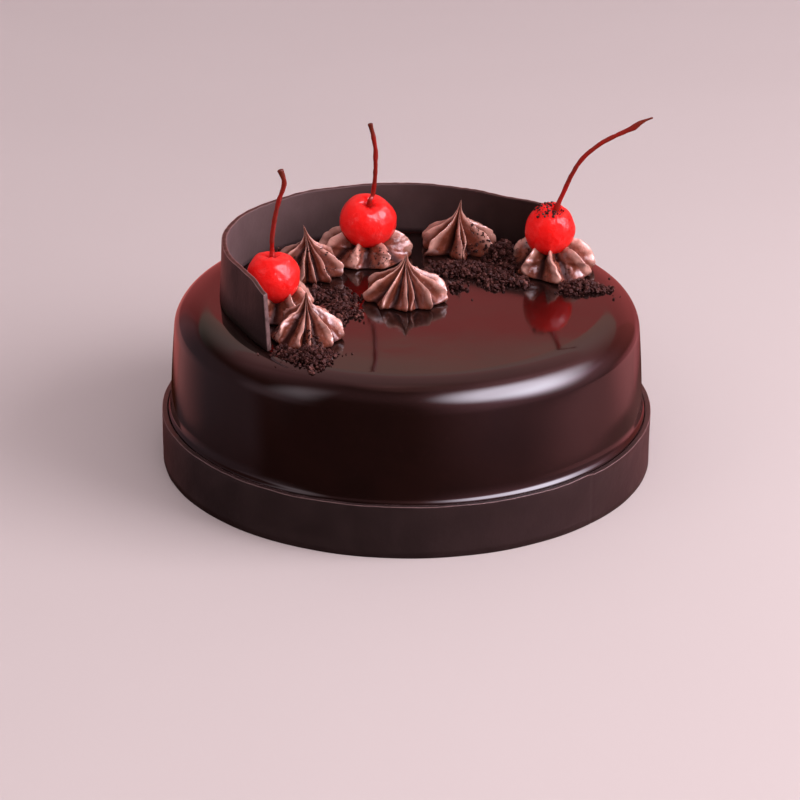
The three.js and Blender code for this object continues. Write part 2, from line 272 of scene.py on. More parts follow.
def is_inside(point: Vector, tree: BVHTree) -> bool:
    """Counts how often a line straight up from a point crosses a closed body.

    Args:
        point: The point.
        tree: The body's skin.

    Returns:
        True where the count is odd, as the point is inside.
    """
    up, inside = Vector((0, 0, 1)), False
    place = tree.ray_cast(point, up)[0]
    while place is not None:
        inside = not inside
        place = tree.ray_cast(place + up * 1e-4, up)[0]
    return inside


def pushed_out(points: np.ndarray, tree: BVHTree, gap: float) -> np.ndarray:
    """Moves the points that lie inside a body, or nearer than a gap, out of it.

    Args:
        points: Rows of x, y, z.
        tree: The body's skin.
        gap: The distance that they keep.

    Returns:
        The moved points.
    """
    moved = points.copy()
    for i, point in enumerate(points):
        place, normal, _, distance = tree.find_nearest(Vector(point), 12.0)
        if place is not None and (distance < gap or is_inside(Vector(point), tree)):
            moved[i] = place + normal * gap
    return moved


# ---------------------------------------------------------------- shader helpers


class Wiring:
    """Places nodes in one tree and joins them."""

    def __init__(self, tree: bpy.types.NodeTree) -> None:
        """Takes an emptied tree."""
        self.tree = tree

    def feed(self, node: bpy.types.Node, inputs: dict) -> bpy.types.Node:
        """Links or sets a node's inputs.

        Args:
            node: The node.
            inputs: Values or sockets, by the input's name or number.

        Returns:
            The same node.
        """
        for key, value in inputs.items():
            socket = node.inputs[key]
            if isinstance(value, bpy.types.NodeSocket):
                self.tree.links.new(value, socket)
            elif socket.type == "RGBA":
                socket.default_value = (*value, 1.0)
            else:
                socket.default_value = value
        return node

    def add(self, kind: str, inputs: dict | None = None, **settings: object) -> bpy.types.Node:
        """Places one node.

        Args:
            kind: The node's type.
            inputs: Values or sockets for its inputs, by name or number.
            **settings: Its own settings.

        Returns:
            The node.
        """
        node = self.tree.nodes.new(kind)
        for name, value in settings.items():
            setattr(node, name, value)
        return self.feed(node, inputs or {})

    def math(self, operation: str, *values: object, clamp: bool = False) -> bpy.types.NodeSocket:
        """The result of a Math node on up to three values or sockets."""
        inputs = dict(enumerate(values))
        return self.add("ShaderNodeMath", inputs, operation=operation, use_clamp=clamp).outputs[0]

    def vector(self, operation: str, inputs: dict) -> bpy.types.NodeSocket:
        """The vector of a Vector Math node on its inputs."""
        return self.add("ShaderNodeVectorMath", inputs, operation=operation).outputs["Vector"]

    def remap(self, value: object, low: float, high: float, start: float = 0.0, end: float = 1.0,
              kind: str = "LINEAR") -> bpy.types.NodeSocket:
        """Maps a value's range from low to high onto start to end."""
        inputs = {"Value": value, "From Min": low, "From Max": high, "To Min": start, "To Max": end}
        return self.add("ShaderNodeMapRange", inputs, interpolation_type=kind).outputs["Result"]

    def ease(self, value: object, low: float, high: float, end: float = 1.0) -> bpy.types.NodeSocket:
        """Rises smoothly from 0 to end as a value goes from low to high."""
        return self.remap(value, low, high, 0.0, end, "SMOOTHSTEP")

    def blend(self, share: object, first: object, second: object) -> bpy.types.NodeSocket:
        """Mixes two colours by a share from 0 to 1."""
        return self.add("ShaderNodeMix", {0: share, 6: first, 7: second}, data_type="RGBA").outputs[2]

    def group(self, group: bpy.types.NodeTree, inputs: dict) -> bpy.types.bpy_prop_collection:
        """The outputs of a node group that is given its own values."""
        return self.add("ShaderNodeGroup", inputs, node_tree=group).outputs


FLOAT, VECTOR, COLOUR = "NodeSocketFloat", "NodeSocketVector", "NodeSocketColor"


class Group(Wiring):
    """A shader node group in the making."""

    def __init__(self, name: str, inputs: dict[str, str], outputs: dict[str, str]) -> None:
        """Starts the group.

        Args:
            name: The group's name.
            inputs: Its input names, each with its socket type.
            outputs: Its output names, each with its socket type.
        """
        super().__init__(bpy.data.node_groups.new(name, "ShaderNodeTree"))
        for side, sockets in (("INPUT", inputs), ("OUTPUT", outputs)):
            for socket, kind in sockets.items():
                self.tree.interface.new_socket(name=socket, in_out=side, socket_type=kind)
        self.given = self.add("NodeGroupInput").outputs
        self.result = self.add("NodeGroupOutput")

    def noise(self, scale: str, **inputs: float) -> bpy.types.NodeSocket:
        """Noise over the given place, scaled by the input of a given name."""
        place = {"Vector": self.given["Place"], "Scale": self.given[scale]}
        return self.add("ShaderNodeTexNoise", {**place, **inputs}).outputs["Fac"]

    def done(self, outputs: dict[str, bpy.types.NodeSocket]) -> bpy.types.NodeTree:
        """Links the group's outputs and gives its tree."""
        self.feed(self.result, outputs)
        return self.tree


class Effects:
    """The node groups that several finishes share, built once."""

    def __init__(self) -> None:
        """Builds the groups."""
        self.grain = self._grain()
        self.two_tone = self._two_tone()
        self.bloom_and_highlight = self._edge_bloom_and_highlight()
        self.specks = self._specks()
        self.card = self._card(rounded=False)
        self.round_card = self._card(rounded=True)

    @staticmethod
    def _grain() -> bpy.types.NodeTree:
        """Uneven relief of two sizes, for bumps and for small changes of gloss.

        Returns:
            The group's tree.
        """
        inputs = {"Place": VECTOR, "Scale": FLOAT, "Fine Scale": FLOAT, "Fine Share": FLOAT}
        group = Group("uneven_grain", inputs, {"Height": FLOAT, "Mask": FLOAT})
        broad = group.noise("Scale", Detail=3.0, Roughness=0.55)
        fine = group.noise("Fine Scale", Detail=2.0, Roughness=0.6)
        both = group.add("ShaderNodeMix", {0: group.given["Fine Share"], 2: broad, 3: fine},
                         data_type="FLOAT")
        return group.done({"Height": both.outputs[0], "Mask": group.remap(broad, 0.35, 0.65)})

    @staticmethod
    def _two_tone() -> bpy.types.NodeTree:
        """Drifts from one colour to another in soft clouds.

        Returns:
            The group's tree.
        """
        inputs = {"Place": VECTOR, "Base": COLOUR, "Other": COLOUR, "Scale": FLOAT, "Amount": FLOAT}
        group = Group("two_tone", inputs, {"Color": COLOUR, "Mask": FLOAT})
        cloud = group.ease(group.noise("Scale", Detail=4.0, Distortion=0.6), 0.32, 0.68)
        share = group.math("MULTIPLY", cloud, group.given["Amount"])
        mixed = group.blend(share, group.given["Base"], group.given["Other"])
        return group.done({"Color": mixed, "Mask": share})

    @staticmethod
    def _edge_bloom_and_highlight() -> bpy.types.NodeTree:
        """Dusty wear that breaks up along an edge, which also paints the edge paler as a highlight.

        Returns:
            The group's tree.
        """
        inputs = {"Place": VECTOR, "Edge": FLOAT, "Scale": FLOAT, "Amount": FLOAT}
        group = Group("edge_bloom_and_highlight", inputs, {"Mask": FLOAT})
        broken = group.remap(group.noise("Scale", Detail=4.0, Roughness=0.7), 0.3, 0.62, 0.35, 1.0)
        sharp = group.ease(group.given["Edge"], 0.25, 0.95)
        worn_and_lit = group.math("MULTIPLY", sharp, broken)
        return group.done({"Mask": group.math("MULTIPLY", worn_and_lit, group.given["Amount"], clamp=True)})

    @staticmethod
    def _specks() -> bpy.types.NodeTree:
        """Sparse small dots, such as dust, pores or trapped air.

        Returns:
            The group's tree.
        """
        inputs = {"Place": VECTOR, "Scale": FLOAT, "Size": FLOAT, "Share": FLOAT}
        group = Group("sparse_specks", inputs, {"Mask": FLOAT})
        given = group.given
        cells = group.add("ShaderNodeTexVoronoi", {"Vector": given["Place"], "Scale": given["Scale"]}).outputs
        dot = group.math("LESS_THAN", cells["Distance"], given["Size"])
        red = group.add("ShaderNodeSeparateColor", {0: cells["Color"]}).outputs[0]
        chosen = group.math("LESS_THAN", red, given["Share"])
        return group.done({"Mask": group.math("MULTIPLY", dot, chosen)})

    @staticmethod
    def _card(rounded: bool) -> bpy.types.NodeTree:
        """A soft-edged card of sky, by its bearing and elevation in degrees.

        Args:
            rounded: True for an oval that a power squares up, False for a rectangle.

        Returns:
            The group's tree.
        """
        names = ("Bearing", "Elevation", "Card Bearing", "Card Elevation", "Half Width", "Half Height",
                 "Side Softness", "Tilt", "Squareness" if rounded else "End Softness")
        group = Group("round_card" if rounded else "square_card", dict.fromkeys(names, FLOAT),
                      {"Mask": FLOAT})
        given, math_node = group.given, group.math
        offset = math_node("SUBTRACT", given["Bearing"], given["Card Bearing"])
        across = math_node("WRAP", offset, 180.0, -180.0)
        lift = math_node("SUBTRACT", given["Elevation"], given["Card Elevation"])
        up = math_node("SUBTRACT", lift, math_node("MULTIPLY", across, given["Tilt"]))
        shares = [math_node("DIVIDE", math_node("ABSOLUTE", reach), given[half])
                  for reach, half in ((across, "Half Width"), (up, "Half Height"))]
        if rounded:
            powers = [math_node("POWER", share, given["Squareness"]) for share in shares]
            root = math_node("DIVIDE", 1.0, given["Squareness"])
            shares = [math_node("POWER", math_node("ADD", *powers), root)]
        masks = []
        for share, soft in zip(shares, ("Side Softness", "End Softness")):
            inside = math_node("DIVIDE", math_node("SUBTRACT", 1.0, share), given[soft])
            masks.append(group.ease(inside, -1.0, 1.0))
        return group.done({"Mask": masks[0] if rounded else math_node("MULTIPLY", *masks)})


class Paint(Wiring):
    """A material in the making, with the shared effects at hand."""

    def __init__(self, name: str, effects: Effects) -> None:
        """Starts the material with its shader.

        Args:
            name: The material's name.
            effects: The shared node groups.
        """
        self.material = bpy.data.materials.new(name)
        self.material.use_nodes = True
        self.material.node_tree.nodes.clear()
        super().__init__(self.material.node_tree)
        self.effects = effects
        self.shader = self.add("ShaderNodeBsdfPrincipled")
        self.add("ShaderNodeOutputMaterial", {"Surface": self.shader.outputs[0]})
        self.place = self.add("ShaderNodeTexCoord").outputs["Object"]

    def mask(self, mask: Mask) -> bpy.types.NodeSocket:
        """Reads one of the mesh's own masks."""
        return self.add("ShaderNodeAttribute", attribute_name=mask.value).outputs["Fac"]

    def tone(self, base: object, other: object, scale: float, amount: float) -> bpy.types.NodeSocket:
        """A colour that drifts towards another in soft clouds."""
        inputs = {"Place": self.place, "Base": base, "Other": other, "Scale": scale, "Amount": amount}
        return self.group(self.effects.two_tone, inputs)["Color"]

    def grain(self, scale: float, fine_scale: float,
              fine_share: float) -> tuple[bpy.types.NodeSocket, bpy.types.NodeSocket]:
        """The height of an uneven grain, and the mask of its broad part."""
        outputs = self.group(self.effects.grain, {
            "Place": self.place, "Scale": scale, "Fine Scale": fine_scale, "Fine Share": fine_share})
        return outputs["Height"], outputs["Mask"]

    def specks(self, scale: float, size: float, share: float) -> bpy.types.NodeSocket:
        """A mask of sparse dots."""
        inputs = {"Place": self.place, "Scale": scale, "Size": size, "Share": share}
        return self.group(self.effects.specks, inputs)["Mask"]

    def relief(self, height: object, distance: float) -> bpy.types.NodeSocket:
        """The normal of a bump over a height that spans a distance in metres."""
        inputs = {"Height": height, "Distance": distance, "Strength": 1.0}
        return self.add("ShaderNodeBump", inputs).outputs["Normal"]

    def done(self, colour: object, roughness: object, specular: float,
             **others: object) -> bpy.types.Material:
        """Dresses the shader and gives the material.

        Args:
            colour: Its base colour.
            roughness: Its roughness.
            specular: How strongly it mirrors.
            **others: Values of its other inputs, with an underscore for each space in their names.

        Returns:
            The material.
        """
        named = {name.replace("_", " "): value for name, value in others.items()}
        self.feed(self.shader, {
            "Base Color": colour, "Roughness": roughness, "Specular IOR Level": specular, **named})
        return self.material


# ---------------------------------------------------------------- finishes


@dataclass(frozen=True)
class GlazeFinish:
    """The mirror glaze: nearly black, with a deep gloss that is a little uneven."""

    deep: Colour = (0.0085, 0.0034, 0.0031)
    warm: Colour = (0.0125, 0.0044, 0.0038)
    dust: Colour = (0.09, 0.06, 0.055)
    gloss: float = 0.07
    dulled: float = 0.115
    specular: float = 0.5

    def material(self, effects: Effects) -> bpy.types.Material:
        """Builds the material.

        Args:
            effects: The shared node groups.

        Returns:
            The material.
        """
        paint = Paint("mirror_glaze", effects)
        tone = paint.tone(self.deep, self.warm, scale=28.0, amount=0.9)
        height, dull = paint.grain(scale=38.0, fine_scale=420.0, fine_share=0.02)
        dust = paint.math("MULTIPLY", paint.specks(scale=260.0, size=0.035, share=0.05), 0.35)
        gloss = paint.remap(dull, 0.0, 1.0, self.gloss, self.dulled)
        return paint.done(paint.blend(dust, tone, self.dust), gloss, self.specular,
                          Normal=paint.relief(height, 0.00006))


@dataclass(frozen=True)
class ChocolateFinish:
    """Tempered dark chocolate: satin, with a paler bloom where it was cast, and paler edges that are partly
    bloom and partly a painted highlight.
    """

    name: str
    deep: Colour = (0.0180, 0.0095, 0.0095)
    warm: Colour = (0.0270, 0.0145, 0.0145)
    # The paler colour of the edges and of dust specks: partly chocolate bloom, partly a painted highlight on
    # the lit edges.
    bloom_and_highlight: Colour = (0.210, 0.122, 0.124)
    haze: Colour = (0.100, 0.062, 0.064)
    roughness: float = 0.38
    worn_and_lit: float = 0.52
    hazed: float = 0.56
    specular: float = 0.36

    def material(self, effects: Effects) -> bpy.types.Material:
        """Builds the material.

        Args:
            effects: The shared node groups.

        Returns:
            The material.
        """
        paint = Paint(self.name, effects)
        tone = paint.tone(self.deep, self.warm, scale=55.0, amount=0.9)
        height, dull = paint.grain(scale=110.0, fine_scale=900.0, fine_share=0.12)
        dust = paint.math("MULTIPLY", paint.specks(scale=420.0, size=0.06, share=0.06), 0.3)
        # The edge mask paints the edges paler: partly worn bloom, partly a painted highlight where light
        # catches them.
        worn_and_lit = paint.group(effects.bloom_and_highlight, {
            "Place": paint.place, "Edge": paint.mask(Mask.EDGE), "Scale": 320.0, "Amount": 0.8})["Mask"]
        # The inner face's haze mask, which is lowered in a painted shadow of the middle cherry.
        cast = paint.mask(Mask.TONE)
        hazy = paint.math("MULTIPLY", cast, paint.remap(dull, 0.0, 1.0, 0.82, 1.0))
        dusted = paint.blend(dust, paint.blend(hazy, tone, self.haze), self.bloom_and_highlight)
        rubbed = paint.math("MAXIMUM", worn_and_lit, paint.math("MULTIPLY", dull, 0.35))
        satin = paint.remap(rubbed, 0.0, 1.0, self.roughness, self.worn_and_lit)
        roughness = paint.math("MAXIMUM", satin, paint.math("MULTIPLY", cast, self.hazed))
        return paint.done(paint.blend(worn_and_lit, dusted, self.bloom_and_highlight), roughness, self.specular,
                          Normal=paint.relief(height, 0.00025))


@dataclass(frozen=True)
class CreamFinish:
    """Piped chocolate cream: wet on its crests, which are painted paler as a highlight, and duller in its
    hollows, which are painted dark as shade.
    """

    # The hollow colour is painted shade in the hollows and at the foot; the crest colour is a painted
    # highlight along the ribs; the body colour is the cream's own.
    hollow: Colour = (0.018, 0.0022, 0.0009)
    body: Colour = (0.215, 0.055, 0.034)
    crest: Colour = (0.760, 0.385, 0.330)
    gloss: float = 0.16
    dulled: float = 0.36
    matt: float = 0.62
    matt_below: float = 0.32
    specular: float = 0.26
    wet_roughness: float = 0.10

    def material(self, effects: Effects) -> bpy.types.Material:
        """Builds the material.

        Args:
            effects: The shared node groups.

        Returns:
            The material.
        """
        paint = Paint("piped_chocolate_cream", effects)
        crest = paint.mask(Mask.CREST)
        # Painted shade in the hollows, then a painted highlight on the crests.
        lower = paint.blend(paint.ease(crest, 0.0, 0.26), self.hollow, self.body)
        upper = paint.blend(paint.ease(crest, 0.52, 0.93, 0.95), lower, self.crest)
        # Random soft clouds drift towards the dark colour of the painted hollow shade.
        tone = paint.tone(upper, self.hollow, scale=170.0, amount=0.4)
        height, dull = paint.grain(scale=330.0, fine_scale=1500.0, fine_share=0.25)
        # Pores are sunk into the bump and painted dark as shade inside them.
        pores = paint.specks(scale=620.0, size=0.14, share=0.10)
        colour = paint.blend(paint.math("MULTIPLY", pores, 0.55), tone, self.hollow)
        pitted = paint.math("SUBTRACT", height, paint.math("MULTIPLY", pores, 0.35))
        moist = paint.remap(dull, 0.0, 1.0, self.gloss, self.dulled)
        low_crest = paint.math("MINIMUM", crest, self.matt_below)
        gloss = paint.remap(low_crest, 0.0, self.matt_below, self.matt, moist)
        wet = paint.math("MULTIPLY", paint.ease(crest, 0.08, 0.42), paint.remap(dull, 0.2, 0.8, 1.0, 0.35))
        return paint.done(colour, gloss, self.specular, Normal=paint.relief(pitted, 0.00050),
                          Coat_Weight=wet, Coat_Roughness=self.wet_roughness, Subsurface_Weight=0.06,
                          Subsurface_Scale=0.0015, Subsurface_Radius=(1.0, 0.3, 0.18))


@dataclass(frozen=True)
class CherryFinish:
    """A cocktail cherry: clear red flesh under syrup, with painted shade in its dimple."""

    flesh: Colour = (0.97, 0.024, 0.022)
    mottle: Colour = (0.91, 0.012, 0.012)
    dimple_shade: Colour = (0.50, 0.006, 0.008)
    gloss: float = 0.02
    dulled: float = 0.05
    specular: float = 0.25

    def material(self, effects: Effects) -> bpy.types.Material:
        """Builds the material.

        Args:
            effects: The shared node groups.

        Returns:
            The material.
        """
        paint = Paint("syrup_cherry", effects)
        tone = paint.tone(self.flesh, self.mottle, scale=150.0, amount=0.6)
        # Painted shade deepens into the dimple.
        colour = paint.blend(paint.ease(paint.mask(Mask.ALONG), 0.0, 1.0, 0.85), tone, self.dimple_shade)
        height, dull = paint.grain(scale=260.0, fine_scale=700.0, fine_share=0.3)
        gloss = paint.remap(dull, 0.0, 1.0, self.gloss, self.dulled)
        return paint.done(colour, gloss, self.specular, Normal=paint.relief(height, 0.0007),
                          Subsurface_Weight=0.9, Subsurface_Scale=0.011,
                          Subsurface_Radius=(1.0, 0.07, 0.06))


@dataclass(frozen=True)
class StemFinish:
    """A cherry's stalk: dyed red near the fruit, browner towards its cut end."""

    foot: Colour = (0.40, 0.009, 0.008)
    middle: Colour = (0.27, 0.008, 0.005)
    tip: Colour = (0.13, 0.018, 0.009)
    roughness: float = 0.24
    specular: float = 0.36

    def material(self, effects: Effects) -> bpy.types.Material:
        """Builds the material.

        Args:
            effects: The shared node groups.

        Returns:
            The material.
        """
        paint = Paint("cherry_stalk", effects)
        along = paint.mask(Mask.ALONG)
        lower = paint.blend(paint.ease(along, 0.0, 0.35), self.foot, self.middle)
        upper = paint.blend(paint.ease(along, 0.78, 1.0), lower, self.tip)
        tone = paint.tone(upper, self.tip, scale=260.0, amount=0.5)
        height, _ = paint.grain(scale=420.0, fine_scale=1600.0, fine_share=0.3)
        return paint.done(tone, self.roughness, self.specular, Normal=paint.relief(height, 0.0004),
                          Subsurface_Weight=0.15, Subsurface_Scale=0.001,
                          Subsurface_Radius=(1.0, 0.2, 0.1))


@dataclass(frozen=True)
class CrumbFinish:
    """Dry dark cake crumbs, each of its own tone, with a few pale ones that are partly a painted highlight
    for glints.
    """

    dark: Colour = (0.0155, 0.0026, 0.0017)
    pale: Colour = (0.140, 0.052, 0.044)
    roughness: float = 0.50
    specular: float = 0.17

    def material(self, effects: Effects) -> bpy.types.Material:
        """Builds the material.

        Args:
            effects: The shared node groups.

        Returns:
            The material.
        """
        paint = Paint("cake_crumb", effects)
        # The pale tone is partly a paler crumb and partly a painted highlight for glints.
        base = paint.blend(paint.mask(Mask.TONE), self.dark, self.pale)
        tone = paint.tone(base, self.dark, scale=900.0, amount=0.6)
        height, _ = paint.grain(scale=1200.0, fine_scale=3600.0, fine_share=0.4)
        return paint.done(tone, self.roughness, self.specular, Normal=paint.relief(height, 0.0004))


@dataclass(frozen=True)
class FloorFinish:
    """The plain pale floor."""

    pale: Colour = (0.60, 0.515, 0.525)
    drift: Colour = (0.57, 0.485, 0.495)
    roughness: float = 0.8
    specular: float = 0.1

    def material(self, effects: Effects) -> bpy.types.Material:
        """Builds the material.

        Args:
            effects: The shared node groups.

        Returns:
            The material.
        """
        paint = Paint("pale_floor", effects)
        return paint.done(paint.tone(self.pale, self.drift, scale=2.0, amount=0.6),
                          self.roughness, self.specular)


# ---------------------------------------------------------------- handing a piece over


def hand_over(skin: Skin, name: str, material: bpy.types.Material, slot: Slot,
              *nodes: str, smooth: bool = True) -> None:
    """Args:
        skin: The piece's mesh, in millimetres.
        name: The piece's name.
        material: Its finish.
        slot: The record's material slot; not used.
        *nodes: The frame's nodes that it stands for.
        smooth: False for crisp facets.
    """
    made = skin.to_object(name, smooth)
    made.data.materials.append(material)
    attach(made, BODY)
    if nodes:
        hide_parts(*nodes)
    log.info("%s: %d points, %d faces", name, len(skin.points), len(skin.faces))


# ---------------------------------------------------------------- the glazed cake


@dataclass
class GlazedCake:
    """The uncut cake under its glaze, with a slightly crowned top and a rounded shoulder.

    Attributes:
        waist_radius: Its radius where it comes out of the band.
        brow_radius: Its radius where the wall turns into the shoulder.
        crown: How much higher the middle of the top is than its edge.
        bulge: How much the wall rounds out between waist and brow; 1 is straight.
        pool: How far the glaze runs out behind the band.
    """

    height: float = TOP
    waist_radius: float = 88.6
    waist_height: float = BAND_TOP
    brow_radius: float = 86.8
    shoulder_width: float = 13.8
    shoulder_drop: float = 12.2
    crown: float = 0.4
    bulge: float = 1.6
    pool: float = 1.2
    around: int = 320

    def surface(self, distance: np.ndarray) -> np.ndarray:
        """Height of the glaze.

        Args:
            distance: Distances from the axis.

        Returns:
            The height at each.
        """
        flat = self.brow_radius - self.shoulder_width
        across = np.clip((np.asarray(distance, float) - flat) / self.shoulder_width, 0, 1)
        top = self.height - self.crown * np.minimum(1, np.asarray(distance) / flat) ** 4
        drop = self.shoulder_drop - self.crown
        return top - drop * (1 - np.sqrt(1 - across * across))

    def profile(self) -> np.ndarray:
        """The outline from the underside up the wall and over to the middle of the top.

        Returns:
            Radius and height of each place, one a row.
        """
        behind = self.waist_radius + self.pool
        foot = [(behind - 0.5, 0.0), (behind - 0.15, 0.15), (behind, 0.5), (behind, 8.0),
                (behind, self.waist_height - 1.2)]
        beads = [(behind - 0.02, -0.5), (behind - 0.10, -0.1), (behind - 0.32, 0.25), (behind - 0.62, 0.55),
                 (behind - 0.88, 0.95), (behind - 1.03, 1.5)]
        bead = [(radius, self.waist_height + rise) for radius, rise in beads]
        slope = self.bulge * (self.waist_radius - self.brow_radius) / (
            self.height - self.shoulder_drop - self.waist_height)
        start = math.atan(slope * self.shoulder_drop / self.shoulder_width)
        flat = self.brow_radius - self.shoulder_width
        end_radius = flat + self.shoulder_width * math.cos(start)
        end_height = float(self.surface(end_radius))
        wall = []
        for share in np.linspace(0, 1, 22)[2:-1]:
            radius = lerp(self.waist_radius, end_radius, share ** self.bulge)
            wall.append((radius, lerp(self.waist_height, end_height, share)))
        shoulder = []
        for turn in np.linspace(start, math.pi / 2, 52):
            radius = flat + self.shoulder_width * math.cos(turn)
            shoulder.append((radius, float(self.surface(radius))))
        top = [(r, float(self.surface(r))) for r in np.linspace(flat, 0, 26)[1:-1]]
        return np.array([*foot, *bead, *wall, *shoulder, *top])

    def skin(self) -> Skin:
        """Turns the outline round and makes the glaze a little uneven.

        Returns:
            The closed body.
        """
        profile = self.profile()
        points, radius, _ = turned(profile, self.around)
        lifted = smoothstep(points[:, 2], self.waist_height + 2, self.waist_height + 14)
        on_side = lifted * smoothstep(radius, 55, 80)
        move_outwards(points, radius, 0.07 * waves(points, 38.0, 3) * on_side)
        points[:, 2] += 0.02 * waves(points, 46.0, 4) * lifted - 0.04 * lifted
        points = np.vstack([points, [[0, 0, 0], [0, 0, self.height - 0.05]]])
        return Skin(points, capped_rings(len(profile), self.around))

    def build(self, material: bpy.types.Material) -> None:
        """Builds and dresses the glaze."""
        hand_over(self.skin(), "mirror_glazed_cake", material, Slot.GLAZE, "cake")


# ---------------------------------------------------------------- the band round the foot


@dataclass
class BaseBand:
    """The low band of dark chocolate, with rounded lips, and a seam where its ends meet.

    Attributes:
        lip: Radius of its rounded upper edges.
        seam_deg: Bearing of the seam.
        seam_step: How much lower one end stands than the other.
    """

    outer_radius: float = 92.0
    thickness: float = 2.0
    height: float = BAND_TOP
    lip: float = 0.3
    seam_deg: float = -42.9
    seam_step: float = 0.55
    around: int = 720

    def section(self) -> tuple[np.ndarray, np.ndarray]:
        """The cross-section, counter-clockwise.

        Returns:
            Radius and height of each place, and how near each is to the upper edges.
        """
        inner, outer = self.outer_radius - self.thickness, self.outer_radius
        places, edge = [(inner, 0.0), (outer - 0.2, 0.0), (outer, 0.2)], [0.0, 0.0, 0.0]
        for rise in np.linspace(0.2, self.height - self.lip, 9)[1:-1]:
            places.append((outer, rise))
            edge.append(0.0)
        for corner, sweep in ((outer - self.lip, (0, 90)), (inner + self.lip, (90, 180))):
            for turn in np.radians(np.linspace(*sweep, 7)):
                places.append((corner + self.lip * math.cos(turn),
                               self.height - self.lip + self.lip * math.sin(turn)))
                edge.append(math.sin(2 * (turn % (math.pi / 2))) if 0.01 < turn % (math.pi / 2) else 0.0)
        places.append((inner, self.height * 0.5))
        edge.append(0.0)
        return np.array(places), np.array(edge)

    def skin(self) -> Skin:
        """Turns the section round, uneven along its top and with its seam.

        Returns:
            The closed ring.
        """
        section, edge = self.section()
        points, radius, turn = turned(section, self.around)
        upper = smoothstep(points[:, 2], 8.0, self.height)
        from_seam = (np.degrees(turn) - self.seam_deg + 180) % 360 - 180
        after = smoothstep(from_seam, -0.15, 0.2) * (1 - smoothstep(from_seam, 3.0, 70.0))
        nick = np.exp(-((from_seam + 0.5) / 0.55) ** 2)
        level = points * [1, 1, 0]
        points[:, 2] += upper * (0.13 * waves(level, 30.0, 11) + 0.05 * waves(level, 7.0, 12) - 0.22
                                 - self.seam_step * after - 0.35 * nick)
        outside = smoothstep(radius, self.outer_radius - 1.0, self.outer_radius)
        groove = 0.16 * np.exp(-(from_seam / 0.35) ** 2)
        move_outwards(points, radius, outside * (0.07 * waves(points, 26.0, 13) - groove))
        skin = Skin(points, ring_faces(len(section), self.around, closed=True))
        # The lips are painted paler: partly scraped wear, partly a painted highlight along the top edge.
        skin.masks[Mask.EDGE] = np.repeat(edge, self.around)
        return skin

    def build(self, material: bpy.types.Material) -> None:
        """Builds and dresses the band."""
        hand_over(self.skin(), "foot_band", material, Slot.CHOCOLATE, "base_band")


# ---------------------------------------------------------------- the curved collar


